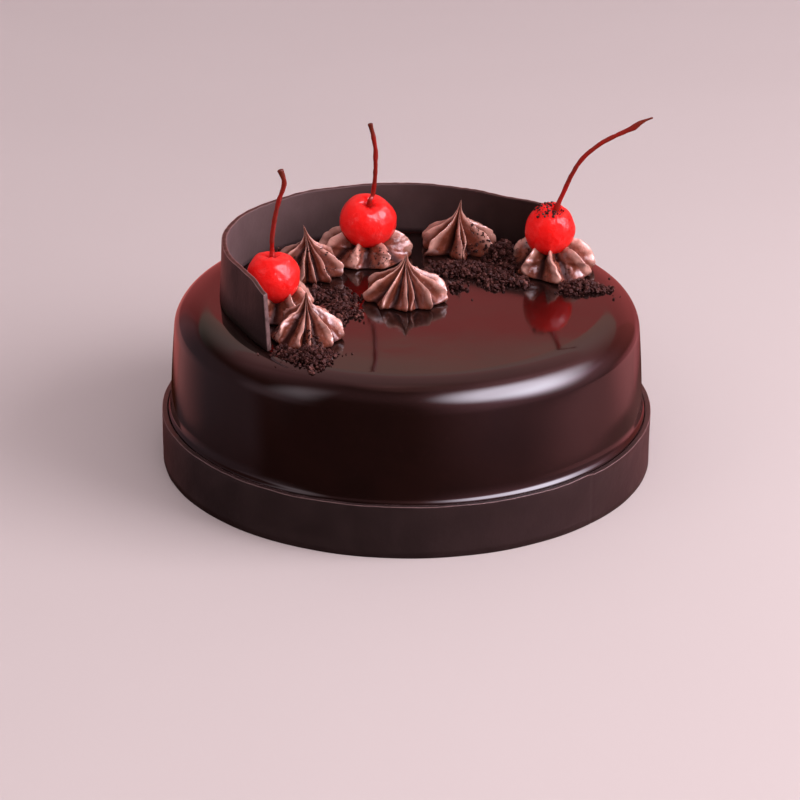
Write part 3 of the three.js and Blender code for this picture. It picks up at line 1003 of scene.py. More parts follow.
@dataclass
class Collar:
    """The thin wall of tempered chocolate that stands on the glaze in a long open curve.

    Attributes:
        start_deg: Bearing of its left end, from which it runs round the back to its right end.
        left_bulge: How much wider the curve is on the left.
        left_bearings: Where the bulge begins and where it is full, in degrees.
        flare_power: How suddenly its ends flare out.
        start_slant_deg: How far its left end leans back along the curve.
        start_sag: How much lower its left end is.
        sag_reach_deg: How far from the left end the slant and the sag reach.
        lean_reach_deg: How far from the left end it takes to lean inwards in full.
        end_steps: For the stations nearest to an end, how far they lie from it in millimetres, how
        much of the thickness they keep, and how much their edges are painted paler, partly as wear and partly
        as a painted highlight.
        fades: Where the cast haze on the inner face grows weaker: by how much, and from and to
            which share of the length.
        shaded: A painted shadow of the middle cherry, which takes haze away low on the inner face: where it
            lies along the wall, half how far it reaches, and how much, as shares.
    """

    base: float = TOP
    thickness: float = 2.0
    start_deg: float = 228.6
    end_deg: float = 39.0
    back_radius: float = 64.2
    left_bulge: float = 4.3
    left_bearings: tuple[float, float] = (96.0, 176.0)
    start_flare: float = 5.2
    start_flare_deg: float = 22.0
    end_flare: float = 5.4
    end_flare_deg: float = 19.0
    flare_power: float = 1.6
    inward_lean: float = 1.2
    start_height: float = 22.4
    end_height: float = 19.4
    start_slant_deg: float = 1.9
    start_sag: float = 1.5
    sag_reach_deg: float = 15.0
    lean_reach_deg: float = 14.0
    lip: float = 0.35
    stations: int = 300
    end_steps: tuple[Triple, ...] = ((0.0, 0.78, 0.95), (0.12, 0.94, 0.9), (0.3, 1.0, 0.5))
    fades: tuple[Triple, ...] = ((0.32, 0.5, 0.62), (0.34, 0.70, 0.82), (0.30, 0.82, 0.97))
    shaded: Triple = (0.655, 0.05, 0.85)

    def radius(self, bearing: np.ndarray) -> np.ndarray:
        """Radius of the outer face at its foot.

        Args:
            bearing: Bearings in degrees.

        Returns:
            The radius at each.
        """
        from_start = np.maximum(0, 1 - (self.start_deg - bearing) / self.start_flare_deg)
        from_end = np.maximum(0, 1 - (bearing - self.end_deg) / self.end_flare_deg)
        bulge = self.left_bulge * smoothstep(bearing, *self.left_bearings)
        return (self.back_radius + self.inward_lean + bulge
                + self.start_flare * from_start ** self.flare_power
                + self.end_flare * from_end ** self.flare_power)

    def outside(self, x: float, y: float, gap: float) -> bool:
        """Tells whether a place is beyond the inner face.

        Args:
            x: The place across.
            y: The place back.
            gap: How far from the face it has to stay.

        Returns:
            True for a place in the wall, behind it, or nearer to its inner face than the gap.
        """
        bearing = math.degrees(math.atan2(y, x)) % 360
        if not self.end_deg - 1 < bearing < self.start_deg + 1:
            return False
        inner = float(self.radius(np.array(bearing))) - self.thickness - self.inward_lean
        return math.hypot(x, y) > inner - gap

    def section(self) -> tuple[np.ndarray, np.ndarray]:
        """The cross-section, counter-clockwise from the inner foot.

        Returns:
            Shares across the thickness and up the height, and how near each place is to an edge.
        """
        places = [(0.0, 0.0), (0.5, 0.0), *((1.0, up) for up in np.linspace(0, 1, 11)[:-1])]
        edge = [0.0] * len(places)
        for turn in np.radians(np.linspace(0, 180, 13)):
            across = 0.5 + 0.5 * math.copysign(abs(math.cos(turn)) ** 0.55, math.cos(turn))
            places.append((across, 1.0 + abs(math.sin(turn)) ** 0.55))
            edge.append(abs(math.sin(2 * turn)) ** 2)
        inner = [(0.0, up) for up in np.linspace(1, 0, 11)[1:-1]]
        return np.array(places + inner), np.array(edge + [0.0] * len(inner))

    def skin(self) -> Skin:
        """Sweeps the section along the curve and closes its ends.

        Returns:
            The closed wall.
        """
        section, edge = self.section()
        inset, kept, end_wear_and_highlight = np.array(self.end_steps).T
        inset = inset * math.degrees(1 / self.back_radius)
        bearing = np.linspace(self.start_deg, self.end_deg, self.stations)[2:-2]
        bearing = np.concatenate([self.start_deg - inset, bearing, (self.end_deg + inset)[::-1]])[:, None]
        narrow = mirrored_ends(kept, 1.0, len(bearing))
        across = 0.5 + (section[:, 0] - 0.5) * narrow
        up, cap = np.minimum(section[:, 1], 1.0), np.maximum(section[:, 1] - 1.0, 0.0)
        along = (self.start_deg - bearing) / (self.start_deg - self.end_deg)
        near_start = 1 - smoothstep(self.start_deg - bearing, 0, self.sag_reach_deg)
        height = lerp(self.start_height, self.end_height, along) - self.start_sag * near_start ** 2
        rise = up * (height - self.lip) + cap * self.lip * narrow
        share = rise / height
        bearing = bearing - self.start_slant_deg * share * near_start
        leaning = smoothstep(self.start_deg - bearing, 0, self.lean_reach_deg)
        lean = self.inward_lean * rise / height * leaning
        radius = self.radius(bearing) - self.thickness * (1 - across) - lean
        turn = np.radians(bearing)
        points = np.stack([radius * np.cos(turn), radius * np.sin(turn), 0.1 + rise], axis=2).reshape(-1, 3)
        self._roughen(points, share.ravel())
        # The edge mask paints the arrises and the ends paler: partly wear, partly a painted highlight.
        masks = {Mask.EDGE: self._edge_wear_and_highlight(edge, along, mirrored_ends(end_wear_and_highlight, 0.0, len(along))).ravel(),
                 Mask.TONE: self._haze(across, along, share).ravel()}
        return Skin(points, self._faces(*share.shape), masks)

    def _roughen(self, points: np.ndarray, share: np.ndarray) -> None:
        """Makes the wall uneven towards its top, and sets it on the glaze.

        Args:
            points: Rows of x, y, z, with heights from the glaze up, which are changed.
            share: How far up the wall each point is.
        """
        wave = 0.16 * share * waves(points * [1, 1, 0.4], 30.0, 21)
        move_outwards(points, np.linalg.norm(points[:, :2], axis=1), wave)
        level = points * [1, 1, 0]
        points[:, 2] += share ** 3 * (0.12 * waves(level, 24.0, 22) + 0.06 * waves(level, 5.0, 23) - 0.15)
        points[:, 2] += self.base

    def _edge_wear_and_highlight(self, edge: np.ndarray, along: np.ndarray, end_wear_and_highlight: np.ndarray) -> np.ndarray:
        """How much the edges are painted paler, partly as wear and partly as a painted highlight, less so
        towards the right, by place along and round the section.
        """
        return np.maximum(edge * (1 - 0.8 * smoothstep(along, 0.3, 0.5)), end_wear_and_highlight)

    def _haze(self, across: np.ndarray, along: np.ndarray, share: np.ndarray) -> np.ndarray:
        """How hazy the cast inner face is, with less haze in a painted shadow of the middle cherry.

        Args:
            across: Share of the thickness at each place.
            along: Share of the length.
            share: Share of the height.

        Returns:
            The haze from 0 to 1, by place along and round the section.
        """
        cast = 1.0
        for drop, start, end in self.fades:
            cast = cast - drop * smoothstep(along, start, end)
        # A painted shadow of the middle cherry, low on the inner face, takes the paler haze away.
        middle, width, shadow_share = self.shaded
        painted_cherry_shadow = np.exp(-((along - middle) / width) ** 2) * (1 - smoothstep(share, 0.35, 0.9))
        inner = smoothstep(1 - across, 0.6, 1.0) * smoothstep(along, 0.0, 0.004)
        return inner * cast * (1 - shadow_share * painted_cherry_shadow)

    @staticmethod
    def _faces(stations: int, around: int) -> list[tuple[int, ...]]:
        """Faces between stations, with a ladder of faces over each end, all facing outwards.

        Args:
            stations: How many sections the wall has.
            around: Points in each section.

        Returns:
            The corners of each face.
        """
        faces = ring_faces(stations, around)
        last = (stations - 1) * around
        rungs = [(1 + r, (around - r) % around) for r in range(around // 2)]
        for (a, b), (c, d) in zip(rungs, rungs[1:]):
            corners = list(dict.fromkeys((a, b, d, c)))
            if len(corners) > 2:
                faces.append(tuple(corners))
                faces.append(tuple(last + corner for corner in reversed(corners)))
        return faces

    def build(self, material: bpy.types.Material) -> None:
        """Builds and dresses the collar."""
        hand_over(self.skin(), "chocolate_collar", material, Slot.CHOCOLATE, "collar")


# ---------------------------------------------------------------- piped kisses and rosettes


@dataclass
class Piping:
    """A ribbed body of piped cream that stands on the glaze.

    Attributes:
        at: Its middle, across and back, in millimetres.
        ribs: Bearing of each rib's foot in degrees from +X, and its reach as a share of the radius.
        twist_deg: How far the ribs turn on their way up.
        tip_lean: How far the tip leans.
        foot_depth: How deep the hollows are at the foot, as a share of the radius.
        blunt: How round the ribs are at the foot and at the top, as shares of the gap between them.
        keen: How sharply the flanks sink away from the ribs at the foot and at the top.
        front_drop: How far its front is pressed down, as a share of the rise.
        fold: How far the ribs fold over to one side, as a share of the hollow beside them.
        curl: How far single ribs curl to either side on their way down.
        bends: Further waves in the ribs: size, waves from foot to tip, and shifts by rib and by seed.
        ripples: Waves in the surface: size and length in millimetres, and a step of the seed.
        full_gap_deg: The hollows between ribs that stand nearer to each other than this are shallower.
        streaks: How many fine streaks each rib has, and their height.
        fineness: Points from one rib to the next.
    """

    name: str
    at: tuple[float, float]
    radius: float
    height: float
    depth_ratio: float
    ribs: tuple[tuple[float, float], ...]
    twist_deg: float
    seed: float
    tip_lean: tuple[float, float] = (0.0, 0.0)
    base: float = TOP
    gap: float = 0.3
    foot_depth: float = 0.12
    blunt: tuple[float, float] = (0.09, 0.06)
    keen: tuple[float, float] = (1.8, 2.4)
    front_drop: float = 0.0
    fold: float = 0.42
    curl: float = 0.40
    bends: tuple[tuple[float, ...], ...] = ((0.24, 0.9, 2.1, 1), (0.13, 2.7, 4.3, 2))
    ripples: tuple[tuple[float, float, int], ...] = ((0.24, 6.0, 0), (0.19, 2.8, 1), (0.07, 1.3, 3))
    full_gap_deg: float = 34.0
    streaks: tuple[int, float] = (3, 0.12)
    fineness: int = 42

    def outline(self) -> np.ndarray:
        """Shares of the radius and of the height, from the foot up."""
        raise NotImplementedError

    def depth(self, share: np.ndarray, rise: np.ndarray) -> np.ndarray:
        """How deep the hollows between ribs are."""
        raise NotImplementedError

    def sunk(self, share: np.ndarray, rise: np.ndarray, crest: np.ndarray) -> np.ndarray:
        """How far the hollows sag below the ribs, as a share of the rise."""
        return 0.5 * (1 - crest) * (1 - smoothstep(rise, 0.08, 0.4))

    def rib(self, turn: np.ndarray, rise: np.ndarray) -> np.ndarray:
        """How near each place is to a rib.

        Args:
            turn: How many ribs lie between the first one and the place.
            rise: Its share of the height.

        Returns:
            1 on the rib's narrow crest, and down to 0 in the hollow beside it.
        """
        away = np.abs(2 * ((turn + 0.5) % 1.0 - 0.5))
        blunt = lerp(*self.blunt, rise)
        away = (np.sqrt(away ** 2 + blunt ** 2) - blunt) / (np.sqrt(1 + blunt ** 2) - blunt)
        return np.clip(1 - away, 0, 1) ** lerp(*self.keen, smoothstep(rise, 0.05, 0.4))

    def bent(self, flute: np.ndarray, rise: np.ndarray) -> np.ndarray:
        """How far the ribs bend to the side.

        Args:
            flute: Number of the rib that each place belongs to.
            rise: Its share of the height.

        Returns:
            The bend, as a share of half the gap between ribs.
        """
        lowered = np.clip(1 - rise, 0, 1)
        side = np.sin(self.seed * 5.3 + flute * 2.4)
        bent = self.fold * (0.3 + 0.7 * lowered) + self.curl * side * lowered ** 1.4
        for size, turns, step, times in self.bends:
            bent = bent + size * np.sin(TAU * turns * rise + step * flute + times * self.seed) * lowered
        return 0.8 * np.tanh(bent / 0.8)

    def skin(self, cake: GlazedCake) -> Skin:
        """Draws the outline round into ribs.

        Args:
            cake: What it stands on.

        Returns:
            The closed body.
        """
        outline = self.outline()
        bearings, reaches = np.array(sorted(self.ribs)).T
        count = len(bearings)
        around = count * self.fineness
        round_trip = np.append(bearings, bearings[0] + 360)
        gaps = np.diff(round_trip)
        turn = np.append(np.tile(np.linspace(0, count, around, endpoint=False), len(outline) - 1), [0.0, 0.0])
        angle = np.radians(np.interp(turn, np.arange(count + 1), round_trip))
        share = np.append(np.repeat(outline[:-1, 0], around), [0.0, 0.0])
        rise = np.append(np.repeat(outline[:-1, 1], around), [0.0, outline[-1, 1]])
        crest = self.rib(turn, rise)
        flute, hollow = np.round(turn).astype(int) % count, np.floor(turn).astype(int) % count
        half = np.radians(gaps[flute] + gaps[flute - 1]) / 4
        bearing = angle + np.radians(self.twist_deg * rise) + half * self.bent(flute, rise) * crest
        uneven = 0.06 * np.sin(self.seed * 3.7 + hollow * 41.3) * smoothstep(share, 0.1, 0.6)
        dip = (self.depth(share, rise) + uneven) * np.minimum(1, gaps[hollow] / self.full_gap_deg)
        drawn = 1 - dip * (1 - crest) + (reaches[flute] - 1) * crest * np.sqrt(np.clip(1 - rise, 0, 1))
        reach = share * self.radius * drawn
        bend = rise ** 3
        x = self.at[0] + reach * np.cos(bearing) + self.tip_lean[0] * bend
        y = self.at[1] + reach * np.sin(bearing) * self.depth_ratio + self.tip_lean[1] * bend
        foot = cake.surface(np.hypot(x, y)) + 0.02
        top = self.base + self.gap + self.height
        pressed = self.front_drop * smoothstep(-np.sin(angle), 0.1, 0.8) * smoothstep(share, 0.05, 0.4)
        lift = rise * (1 - self.sunk(share, rise, crest)) * (1 - pressed * smoothstep(rise, 0.2, 0.9))
        points = np.stack([x, y, lerp(foot, top, lift)], axis=1)
        swell = np.sin(self.seed * 12.9898 + flute * 78.233)
        each, depth = self.streaks
        streaks = depth * np.sin(TAU * each * turn + 3 * swell) * (0.4 + 0.6 * smoothstep(rise, 0.1, 0.5))
        self._roughen(points, streaks, smoothstep(rise, 0.02, 0.2) * smoothstep(share, 0.04, 0.3))
        skin = Skin(points, capped_rings(len(outline) - 1, around))
        # The crest mask is lowered towards the foot, which paints shade at the foot.
        skin.masks[Mask.CREST] = crest * (0.6 + 0.4 * smoothstep(rise, 0.0, 0.3))
        return skin

    def _roughen(self, points: np.ndarray, streaks: np.ndarray, body: np.ndarray) -> None:
        """Gives the cream its ripples and the streaks of the nozzle.

        Args:
            points: Rows of x, y, z, which are changed.
            streaks: Height of the streaks at each point.
            body: How much of it all each point gets, from 0 to 1.
        """
        outward = (points - np.array([*self.at, 0.0])) * [1, 1, 0]
        outward /= np.maximum(np.linalg.norm(outward, axis=1), 0.4)[:, None]
        number = int(self.seed * 10)
        ripple = sum(size * waves(points, length, number + step) for size, length, step in self.ripples)
        points += outward * ((ripple + streaks) * body)[:, None]
        points[:, 2] += 0.10 * waves(points, 5.0, number + 2) * body


@dataclass
class Kiss(Piping):
    """A drop of piped cream, full below and drawn up to a thin tip.

    Attributes:
        spike: How much of its height is a thin thread.
        carve: How deep the hollows are at mid height, as a share of the radius.
        foot_rise: Share of the height at which it is widest.
    """

    spike: float = 0.04
    carve: float = 0.44
    foot_rise: float = 0.12

    def outline(self) -> np.ndarray:
        """A bulging foot, shoulders, and a steep hollow neck up to the thread.

        Returns:
            Shares of the radius and of the height, one place a row.
        """
        turns = np.linspace(0, math.pi / 2, 8)
        foot = [(0.87 + 0.13 * math.sin(t), self.foot_rise * (1 - math.cos(t))) for t in turns]
        body = [(1.0, self.foot_rise), (0.985, 0.2), (0.945, 0.3), (0.87, 0.4), (0.735, 0.49), (0.57, 0.56),
                (0.42, 0.625), (0.29, 0.69), (0.195, 0.755), (0.125, 0.83), (0.078, 0.9), (0.040, 1.0)]
        upper = [(share, rise * (1 - self.spike)) for share, rise in body]
        upper += [(0.024, 1 - 0.45 * self.spike), (0.0, 1.0)]
        return np.vstack([[(0.5, 0.0)], foot[:-1], smooth_line(np.array(upper), 58)])

    def depth(self, share: np.ndarray, rise: np.ndarray) -> np.ndarray:
        """Slight at the foot, where the hollows flare out to a lip, and deep above it."""
        return (self.foot_depth + self.carve * smoothstep(rise, 0.04, 0.42)
                + 0.14 * smoothstep(rise, 0.35, 0.8))


@dataclass
class Rosette(Piping):
    """A round of piped cream pressed open in its middle by a cherry.

    Attributes:
        hollow: How far the hollows sag on top of its rim, as a share of the rise.
    """

    hollow: float = 0.42
    blunt: tuple[float, float] = (0.12, 0.12)
    keen: tuple[float, float] = (1.7, 2.1)
    curl: float = 0.7

    def outline(self) -> np.ndarray:
        """Out over the bulging rim and back in to the middle."""
        rings = [(0.86, 0), (0.96, 0.04), (1, 0.14), (0.995, 0.3), (0.95, 0.5), (0.85, 0.72),
                 (0.70, 0.9), (0.52, 1), (0.36, 0.98), (0.2, 0.92), (0, 0.86)]
        return np.vstack([[(0.5, 0.0)], smooth_line(np.array(rings, float), 54)])

    def depth(self, share: np.ndarray, rise: np.ndarray) -> np.ndarray:
        """Next to nothing at the foot, deep on the rim and gone in the middle."""
        return self.foot_depth + 0.36 * smoothstep(rise, 0.03, 0.45) * smoothstep(share, 0.1, 0.7)

    def sunk(self, share: np.ndarray, rise: np.ndarray, crest: np.ndarray) -> np.ndarray:
        """The hollows sag on top of the rim."""
        sag = self.hollow * (1 - crest) * smoothstep(rise, 0.35, 1) * smoothstep(share, 0.15, 0.6)
        return sag + super().sunk(share, rise, crest)


# ---------------------------------------------------------------- cherries and their stalks


@dataclass
class Cherry:
    """A cocktail cherry, tilted and a little lumpy.

    Attributes:
        at: Its centre, in millimetres.
        lean_deg: Tilt of its stalk end, first towards -Y and then towards +X.
    """

    name: str
    at: Triple
    radius: float
    half_height: float
    lean_deg: tuple[float, float]
    seed: float
    dimple_depth: float = 2.6
    dimple_width: float = 3.4
    rings: int = 84
    around: int = 128

    def matrix(self) -> np.ndarray:
        """The turn of its axes, as a 3x3 matrix."""
        forward, sideways = (math.radians(a) for a in self.lean_deg)
        turn = Matrix.Rotation(forward, 3, "X") @ Matrix.Rotation(sideways, 3, "Y")
        return np.array(turn)

    def placed(self, points: np.ndarray) -> np.ndarray:
        """Points about its own centre, in the row frame."""
        return points @ self.matrix().T + np.array(self.at)

    def dimple_point(self, above: float) -> np.ndarray:
        """A place on its axis above the bottom of the dimple."""
        return self.placed(np.array([[0, 0, self.half_height - self.dimple_depth + above]]))[0]

    def skin(self) -> Skin:
        """Turns the outline round, with its dimple, creases and lumps.

        Returns:
            The closed fruit.
        """
        angle = np.linspace(-math.pi / 2, math.pi / 2, self.rings)[1:-1]
        radius = self.radius * np.cos(angle) ** 0.92
        pit = np.where(angle > 0, np.exp(-((radius / self.dimple_width) ** 2)), 0.0)
        height = self.half_height * np.sin(angle) - self.dimple_depth * pit
        points, radius, turn = turned(np.stack([radius, height], axis=1), self.around)
        pit = np.repeat(pit, self.around)
        lump = 1 + 0.016 * np.sin(3 * turn + self.seed) + 0.012 * np.sin(2 * turn + 5 * self.seed)
        points *= lump[:, None]
        number = int(self.seed * 10)
        crease = 0.22 * pit * (1 - pit) * 4 * np.sin(7 * turn + self.seed) * smoothstep(radius, 0.2, 1.5)
        dent = 0.13 * waves(points, 9.0, number) + 0.045 * waves(points, 3.2, number + 1) - 0.10
        points *= (1 + (dent * (1 - pit)) / self.radius)[:, None]
        points[:, 2] += crease
        poles = [[0, 0, -self.half_height + 0.05], [0, 0, self.half_height - self.dimple_depth]]
        points = self.placed(np.vstack([points, poles]))
        skin = Skin(points, capped_rings(len(angle), self.around))
        # How deep in the dimple each point lies, for the painted shade there.
        skin.masks[Mask.ALONG] = np.append(pit, [0.0, 1.0]) ** 1.5
        return skin

    def build(self, material: bpy.types.Material) -> None:
        """Builds and dresses the fruit."""
        hand_over(self.skin(), f"{self.name}_fruit", material, Slot.CHERRY, self.name)


class StemEnd(Enum):
    """How a stalk ends."""

    KNOB = "knob"
    CUT = "cut"
    FRAYED = "frayed"


@dataclass
class Stem:
    """A cherry's stalk, from the dimple to its end.

    Attributes:
        points: Places that its centre line goes on through.
        end: How it ends.
        swell_end: How much thicker its knob is, where it has one.
        swell_foot: How much thicker its foot is.
    """

    name: str
    points: list[Triple]
    end: StemEnd
    swell_end: float = 1.35
    radius: float = 0.8
    swell_foot: float = 1.25
    stations: int = 150
    around: int = 20

    def path(self, cherry: Cherry) -> np.ndarray:
        """Evenly spaced places on the centre line."""
        line = [cherry.dimple_point(0.1), cherry.dimple_point(3.0), *map(np.array, self.points)]
        return smooth_line(np.array(line), self.stations)

    def radii(self, along: np.ndarray) -> np.ndarray:
        """Its radius, with a thicker foot and the form of its end.

        Args:
            along: Shares of its length.

        Returns:
            The radius at each.
        """
        foot = (self.swell_foot - 1) * (1 - smoothstep(along, 0, 0.12))
        wander = 0.05 * np.sin(along * 31 + self.radius * 9) + 0.03 * np.sin(along * 77)
        if self.end is StemEnd.KNOB:
            tip = (self.swell_end - 1) * smoothstep(along, 0.88, 0.96)
        elif self.end is StemEnd.FRAYED:
            tip = (0.30 * np.exp(-((along - 0.86) / 0.035) ** 2)
                   - 0.62 * smoothstep(along, 0.885, 1.0))
        else:
            tip = 0.12 * smoothstep(along, 0.9, 0.97)
        return self.radius * (1 + foot + wander + tip)

    def skin(self, cherry: Cherry) -> Skin:
        """Draws a ring of points round each place on the path.

        Args:
            cherry: The fruit that it grows from.

        Returns:
            The closed tube.
        """
        path = self.path(cherry)
        along = np.linspace(0, 1, len(path))
        radii = self.radii(along)
        frayed = self.end is StemEnd.FRAYED
        radii[-1] *= 1.0 if frayed else 0.72
        ahead = np.gradient(path, axis=0)
        ahead /= np.linalg.norm(ahead, axis=1)[:, None]
        side = np.cross(ahead[0], [0, 1, 0])
        rows = []
        turns = np.linspace(0, TAU, self.around, endpoint=False)
        for centre, heading, radius in zip(path, ahead, radii):
            side = side - heading * (side @ heading)
            side /= np.linalg.norm(side)
            other = np.cross(heading, side)
            oval = 1 + 0.07 * np.cos(2 * turns + 0.5)
            rows.append(centre + radius * oval[:, None] * (
                np.cos(turns)[:, None] * side + np.sin(turns)[:, None] * other))
        ends = [path[0], path[-1] + ahead[-1] * (0.25 if frayed else -0.35)]
        points = np.vstack([*rows, ends])
        points[:-2] += 0.045 * np.stack([waves(points[:-2], 3.0, s) for s in (31, 32, 33)], axis=1)
        skin = Skin(points, capped_rings(len(path), self.around))
        skin.masks[Mask.ALONG] = np.append(np.repeat(along, self.around), [0.0, 1.0])
        return skin

    def build(self, cherry: Cherry, material: bpy.types.Material) -> None:
        """Builds and dresses the stalk."""
        hand_over(self.skin(cherry), f"{self.name}_stalk", material, Slot.STEM, self.name)


# ---------------------------------------------------------------- crumbs


@dataclass
class Heap:
    """A low heap of crumbs: an oval, how high its middle is, and how many crumbs it has."""

    at: tuple[float, float]
    half: tuple[float, float]
    turn_deg: float
    rise: float
    crumbs: int

    def spot(self, along: float, across: float) -> tuple[float, float]:
        """The place of an offset along and across the oval."""
        turn = math.radians(self.turn_deg)
        return (self.at[0] + along * math.cos(turn) - across * math.sin(turn),
                self.at[1] + along * math.sin(turn) + across * math.cos(turn))


class CrumbMaker:
    """Makes rough crumbs of one kind from a pulled-about twenty-sided body."""

    def __init__(self, seed: int) -> None:
        """Fixes the run of random numbers."""
        self.random = np.random.default_rng(seed)
        self.places: list[np.ndarray] = []
        self.sizes: list[float] = []

    def drop(self, place: np.ndarray, size: float) -> None:
        """Puts one crumb of a given radius at a place, in millimetres."""
        self.places.append(np.asarray(place, float))
        self.sizes.append(size)

    def skin(self) -> Skin:
        """Shapes the crumbs, each with a tone of its own.

        Returns:
            All of them as one skin.
        """
        golden = (1 + math.sqrt(5)) / 2
        corners = np.array([(-1, golden, 0), (1, golden, 0), (-1, -golden, 0), (1, -golden, 0),
                            (0, -1, golden), (0, 1, golden), (0, -1, -golden), (0, 1, -golden),
                            (golden, 0, -1), (golden, 0, 1), (-golden, 0, -1), (-golden, 0, 1)])
        corners /= np.linalg.norm(corners[0])
        sides = np.array([(0, 11, 5), (0, 5, 1), (0, 1, 7), (0, 7, 10), (0, 10, 11), (1, 5, 9), (5, 11, 4),
                          (11, 10, 2), (10, 7, 6), (7, 1, 8), (3, 9, 4), (3, 4, 2), (3, 2, 6), (3, 6, 8),
                          (3, 8, 9), (4, 9, 5), (2, 4, 11), (6, 2, 10), (8, 6, 7), (9, 8, 1)])
        count = len(self.sizes)
        pulled = corners[None] * self.random.uniform(0.68, 1.25, (count, 12, 1))
        pulled = pulled * self.random.uniform(0.62, 1.3, (count, 1, 3))
        tipped = np.einsum("nij,nkj->nki", self._turns(count), pulled)
        points = tipped * np.array(self.sizes)[:, None, None] + np.array(self.places)[:, None]
        faces = sides[None] + 12 * np.arange(count)[:, None, None]
        # Most crumbs are dark; about one in twelve is much paler, partly as a painted highlight for glints.
        tone = self.random.beta(1.1, 4.5, count) + 0.9 * (self.random.uniform(size=count) < 0.08)
        tone = np.repeat(np.minimum(tone, 1), 12)
        return Skin(points.reshape(-1, 3), [tuple(f) for f in faces.reshape(-1, 3).tolist()],
                    {Mask.TONE: tone})

    def _turns(self, count: int) -> np.ndarray:
        """Random turns.

        Args:
            count: How many there are.

        Returns:
            A 3x3 matrix for each.
        """
        quaternions = self.random.normal(size=(count, 4))
        w, x, y, z = (quaternions / np.linalg.norm(quaternions, axis=1)[:, None]).T
        return np.stack([
            np.stack([1 - 2 * (y * y + z * z), 2 * (x * y - z * w), 2 * (x * z + y * w)], axis=1),
            np.stack([2 * (x * y + z * w), 1 - 2 * (x * x + z * z), 2 * (y * z - x * w)], axis=1),
            np.stack([2 * (x * z - y * w), 2 * (y * z + x * w), 1 - 2 * (x * x + y * y)], axis=1)], axis=1)


@dataclass
class CrumbHeaps:
    """The heaps of crumbs on the glaze, and the few crumbs that lie by themselves.

    Attributes:
        heaps: The heaps.
        singles: Each single crumb's place across and back, and its radius.
        cake: What they lie on.
        collar: The wall that they stay inside of.
        toppings: The bodies that they keep clear of.
        rim: How far a heap reaches past its oval, before its ragged edge.
        pile_reach: Where the pile runs out, in the same shares.
        strays: How many crumbs are strays, and how much farther out they lie, as shares.
        tries: How often a place is sought for each crumb, on average.
        search: How far away a topping is looked for.
    """

    heaps: list[Heap]
    singles: list[Triple]
    cake: GlazedCake
    collar: Collar
    toppings: list[BVHTree]
    smallest: float = 0.26
    largest: float = 1.2
    rim: float = 1.32
    pile_reach: float = 1.25
    strays: tuple[float, float] = (0.05, 1.25)
    tries: int = 4
    search: float = 14.0
    seed: int = 21

    def skin(self) -> Skin:
        """Drops the crumbs of the heaps and the single ones.

        Returns:
            All of them as one skin.
        """
        maker = CrumbMaker(self.seed)
        for heap in self.heaps:
            self._fill(heap, maker)
        for x, y, size in self.singles:
            maker.drop([x, y, float(self.cake.surface(math.hypot(x, y))) + size * 0.5], size)
        return maker.skin()

    def _fill(self, heap: Heap, maker: CrumbMaker) -> None:
        """Drops the crumbs of one heap.

        Args:
            heap: The heap.
            maker: Takes the crumbs and gives the random numbers.
        """
        dropped, random = 0, maker.random.uniform
        for _ in range(heap.crumbs * self.tries):
            if dropped >= heap.crumbs:
                break
            bearing, reach = random(0, TAU), random() ** 0.62
            ragged = (1.0 + 0.22 * math.sin(3 * bearing + heap.at[0])
                      + 0.14 * math.sin(7 * bearing + heap.at[1]))
            spread = self.rim * reach * ragged * (self.strays[1] if random() < self.strays[0] else 1.0)
            x, y = heap.spot(heap.half[0] * spread * math.cos(bearing),
                             heap.half[1] * spread * math.sin(bearing))
            size = lerp(self.smallest, self.largest, random() ** 2.8)
            if reach > 0.85:
                size *= 0.75
            pile = heap.rise * 1.25 * max(0.0, 1 - (spread / self.pile_reach) ** 2)
            z = float(self.cake.surface(math.hypot(x, y))) + pile * random(0.25, 1.0) + size * 0.45
            place = Vector((x, y, z))
            if not self.collar.outside(x, y, size) and not self._touched(place, size):
                maker.drop(place, size)
                dropped += 1

    def _touched(self, place: Vector, size: float) -> bool:
        """Tells whether a crumb would lie in a topping.

        Args:
            place: Its middle.
            size: Its radius.

        Returns:
            True where it would.
        """
        for tree in self.toppings:
            near, normal, _, _ = tree.find_nearest(place, self.search)
            if near is not None and (place - near).dot(normal) < size * 0.5:
                return True
        return False

    def build(self, material: bpy.types.Material) -> None:
        """Builds and dresses the heaps."""
        hand_over(self.skin(), "crumb_heaps", material, Slot.CRUMB, "cake", smooth=False)


@dataclass
class Dusting:
    """Crumbs that stick to the upper side of a topping.

    Attributes:
        at: Middle of the dusted patch, across and back.
        spread: Its radius.
        crumbs: How many crumbs it has.
        size: Smallest and largest radius of a crumb.
    """

    topping: str
    at: tuple[float, float]
    spread: float
    crumbs: int
    size: tuple[float, float] = (0.16, 0.42)

    def drop(self, tree: BVHTree, maker: CrumbMaker) -> None:
        """Drops the crumbs straight down onto the topping.

        Args:
            tree: The topping's skin.
            maker: Takes the crumbs and gives the random numbers.
        """
        random = maker.random.uniform
        for _ in range(self.crumbs):
            bearing, reach = random(0, TAU), self.spread * math.sqrt(random())
            x, y = self.at[0] + reach * math.cos(bearing), self.at[1] + reach * math.sin(bearing)
            place, normal, _, _ = tree.ray_cast(Vector((x, y, ABOVE_ALL)), Vector((0, 0, -1)))
            size = lerp(*self.size, random() ** 2)
            if place is not None and normal.z > 0.05:
                maker.drop(place + normal * size * 0.35, size)


# ---------------------------------------------------------------- studio


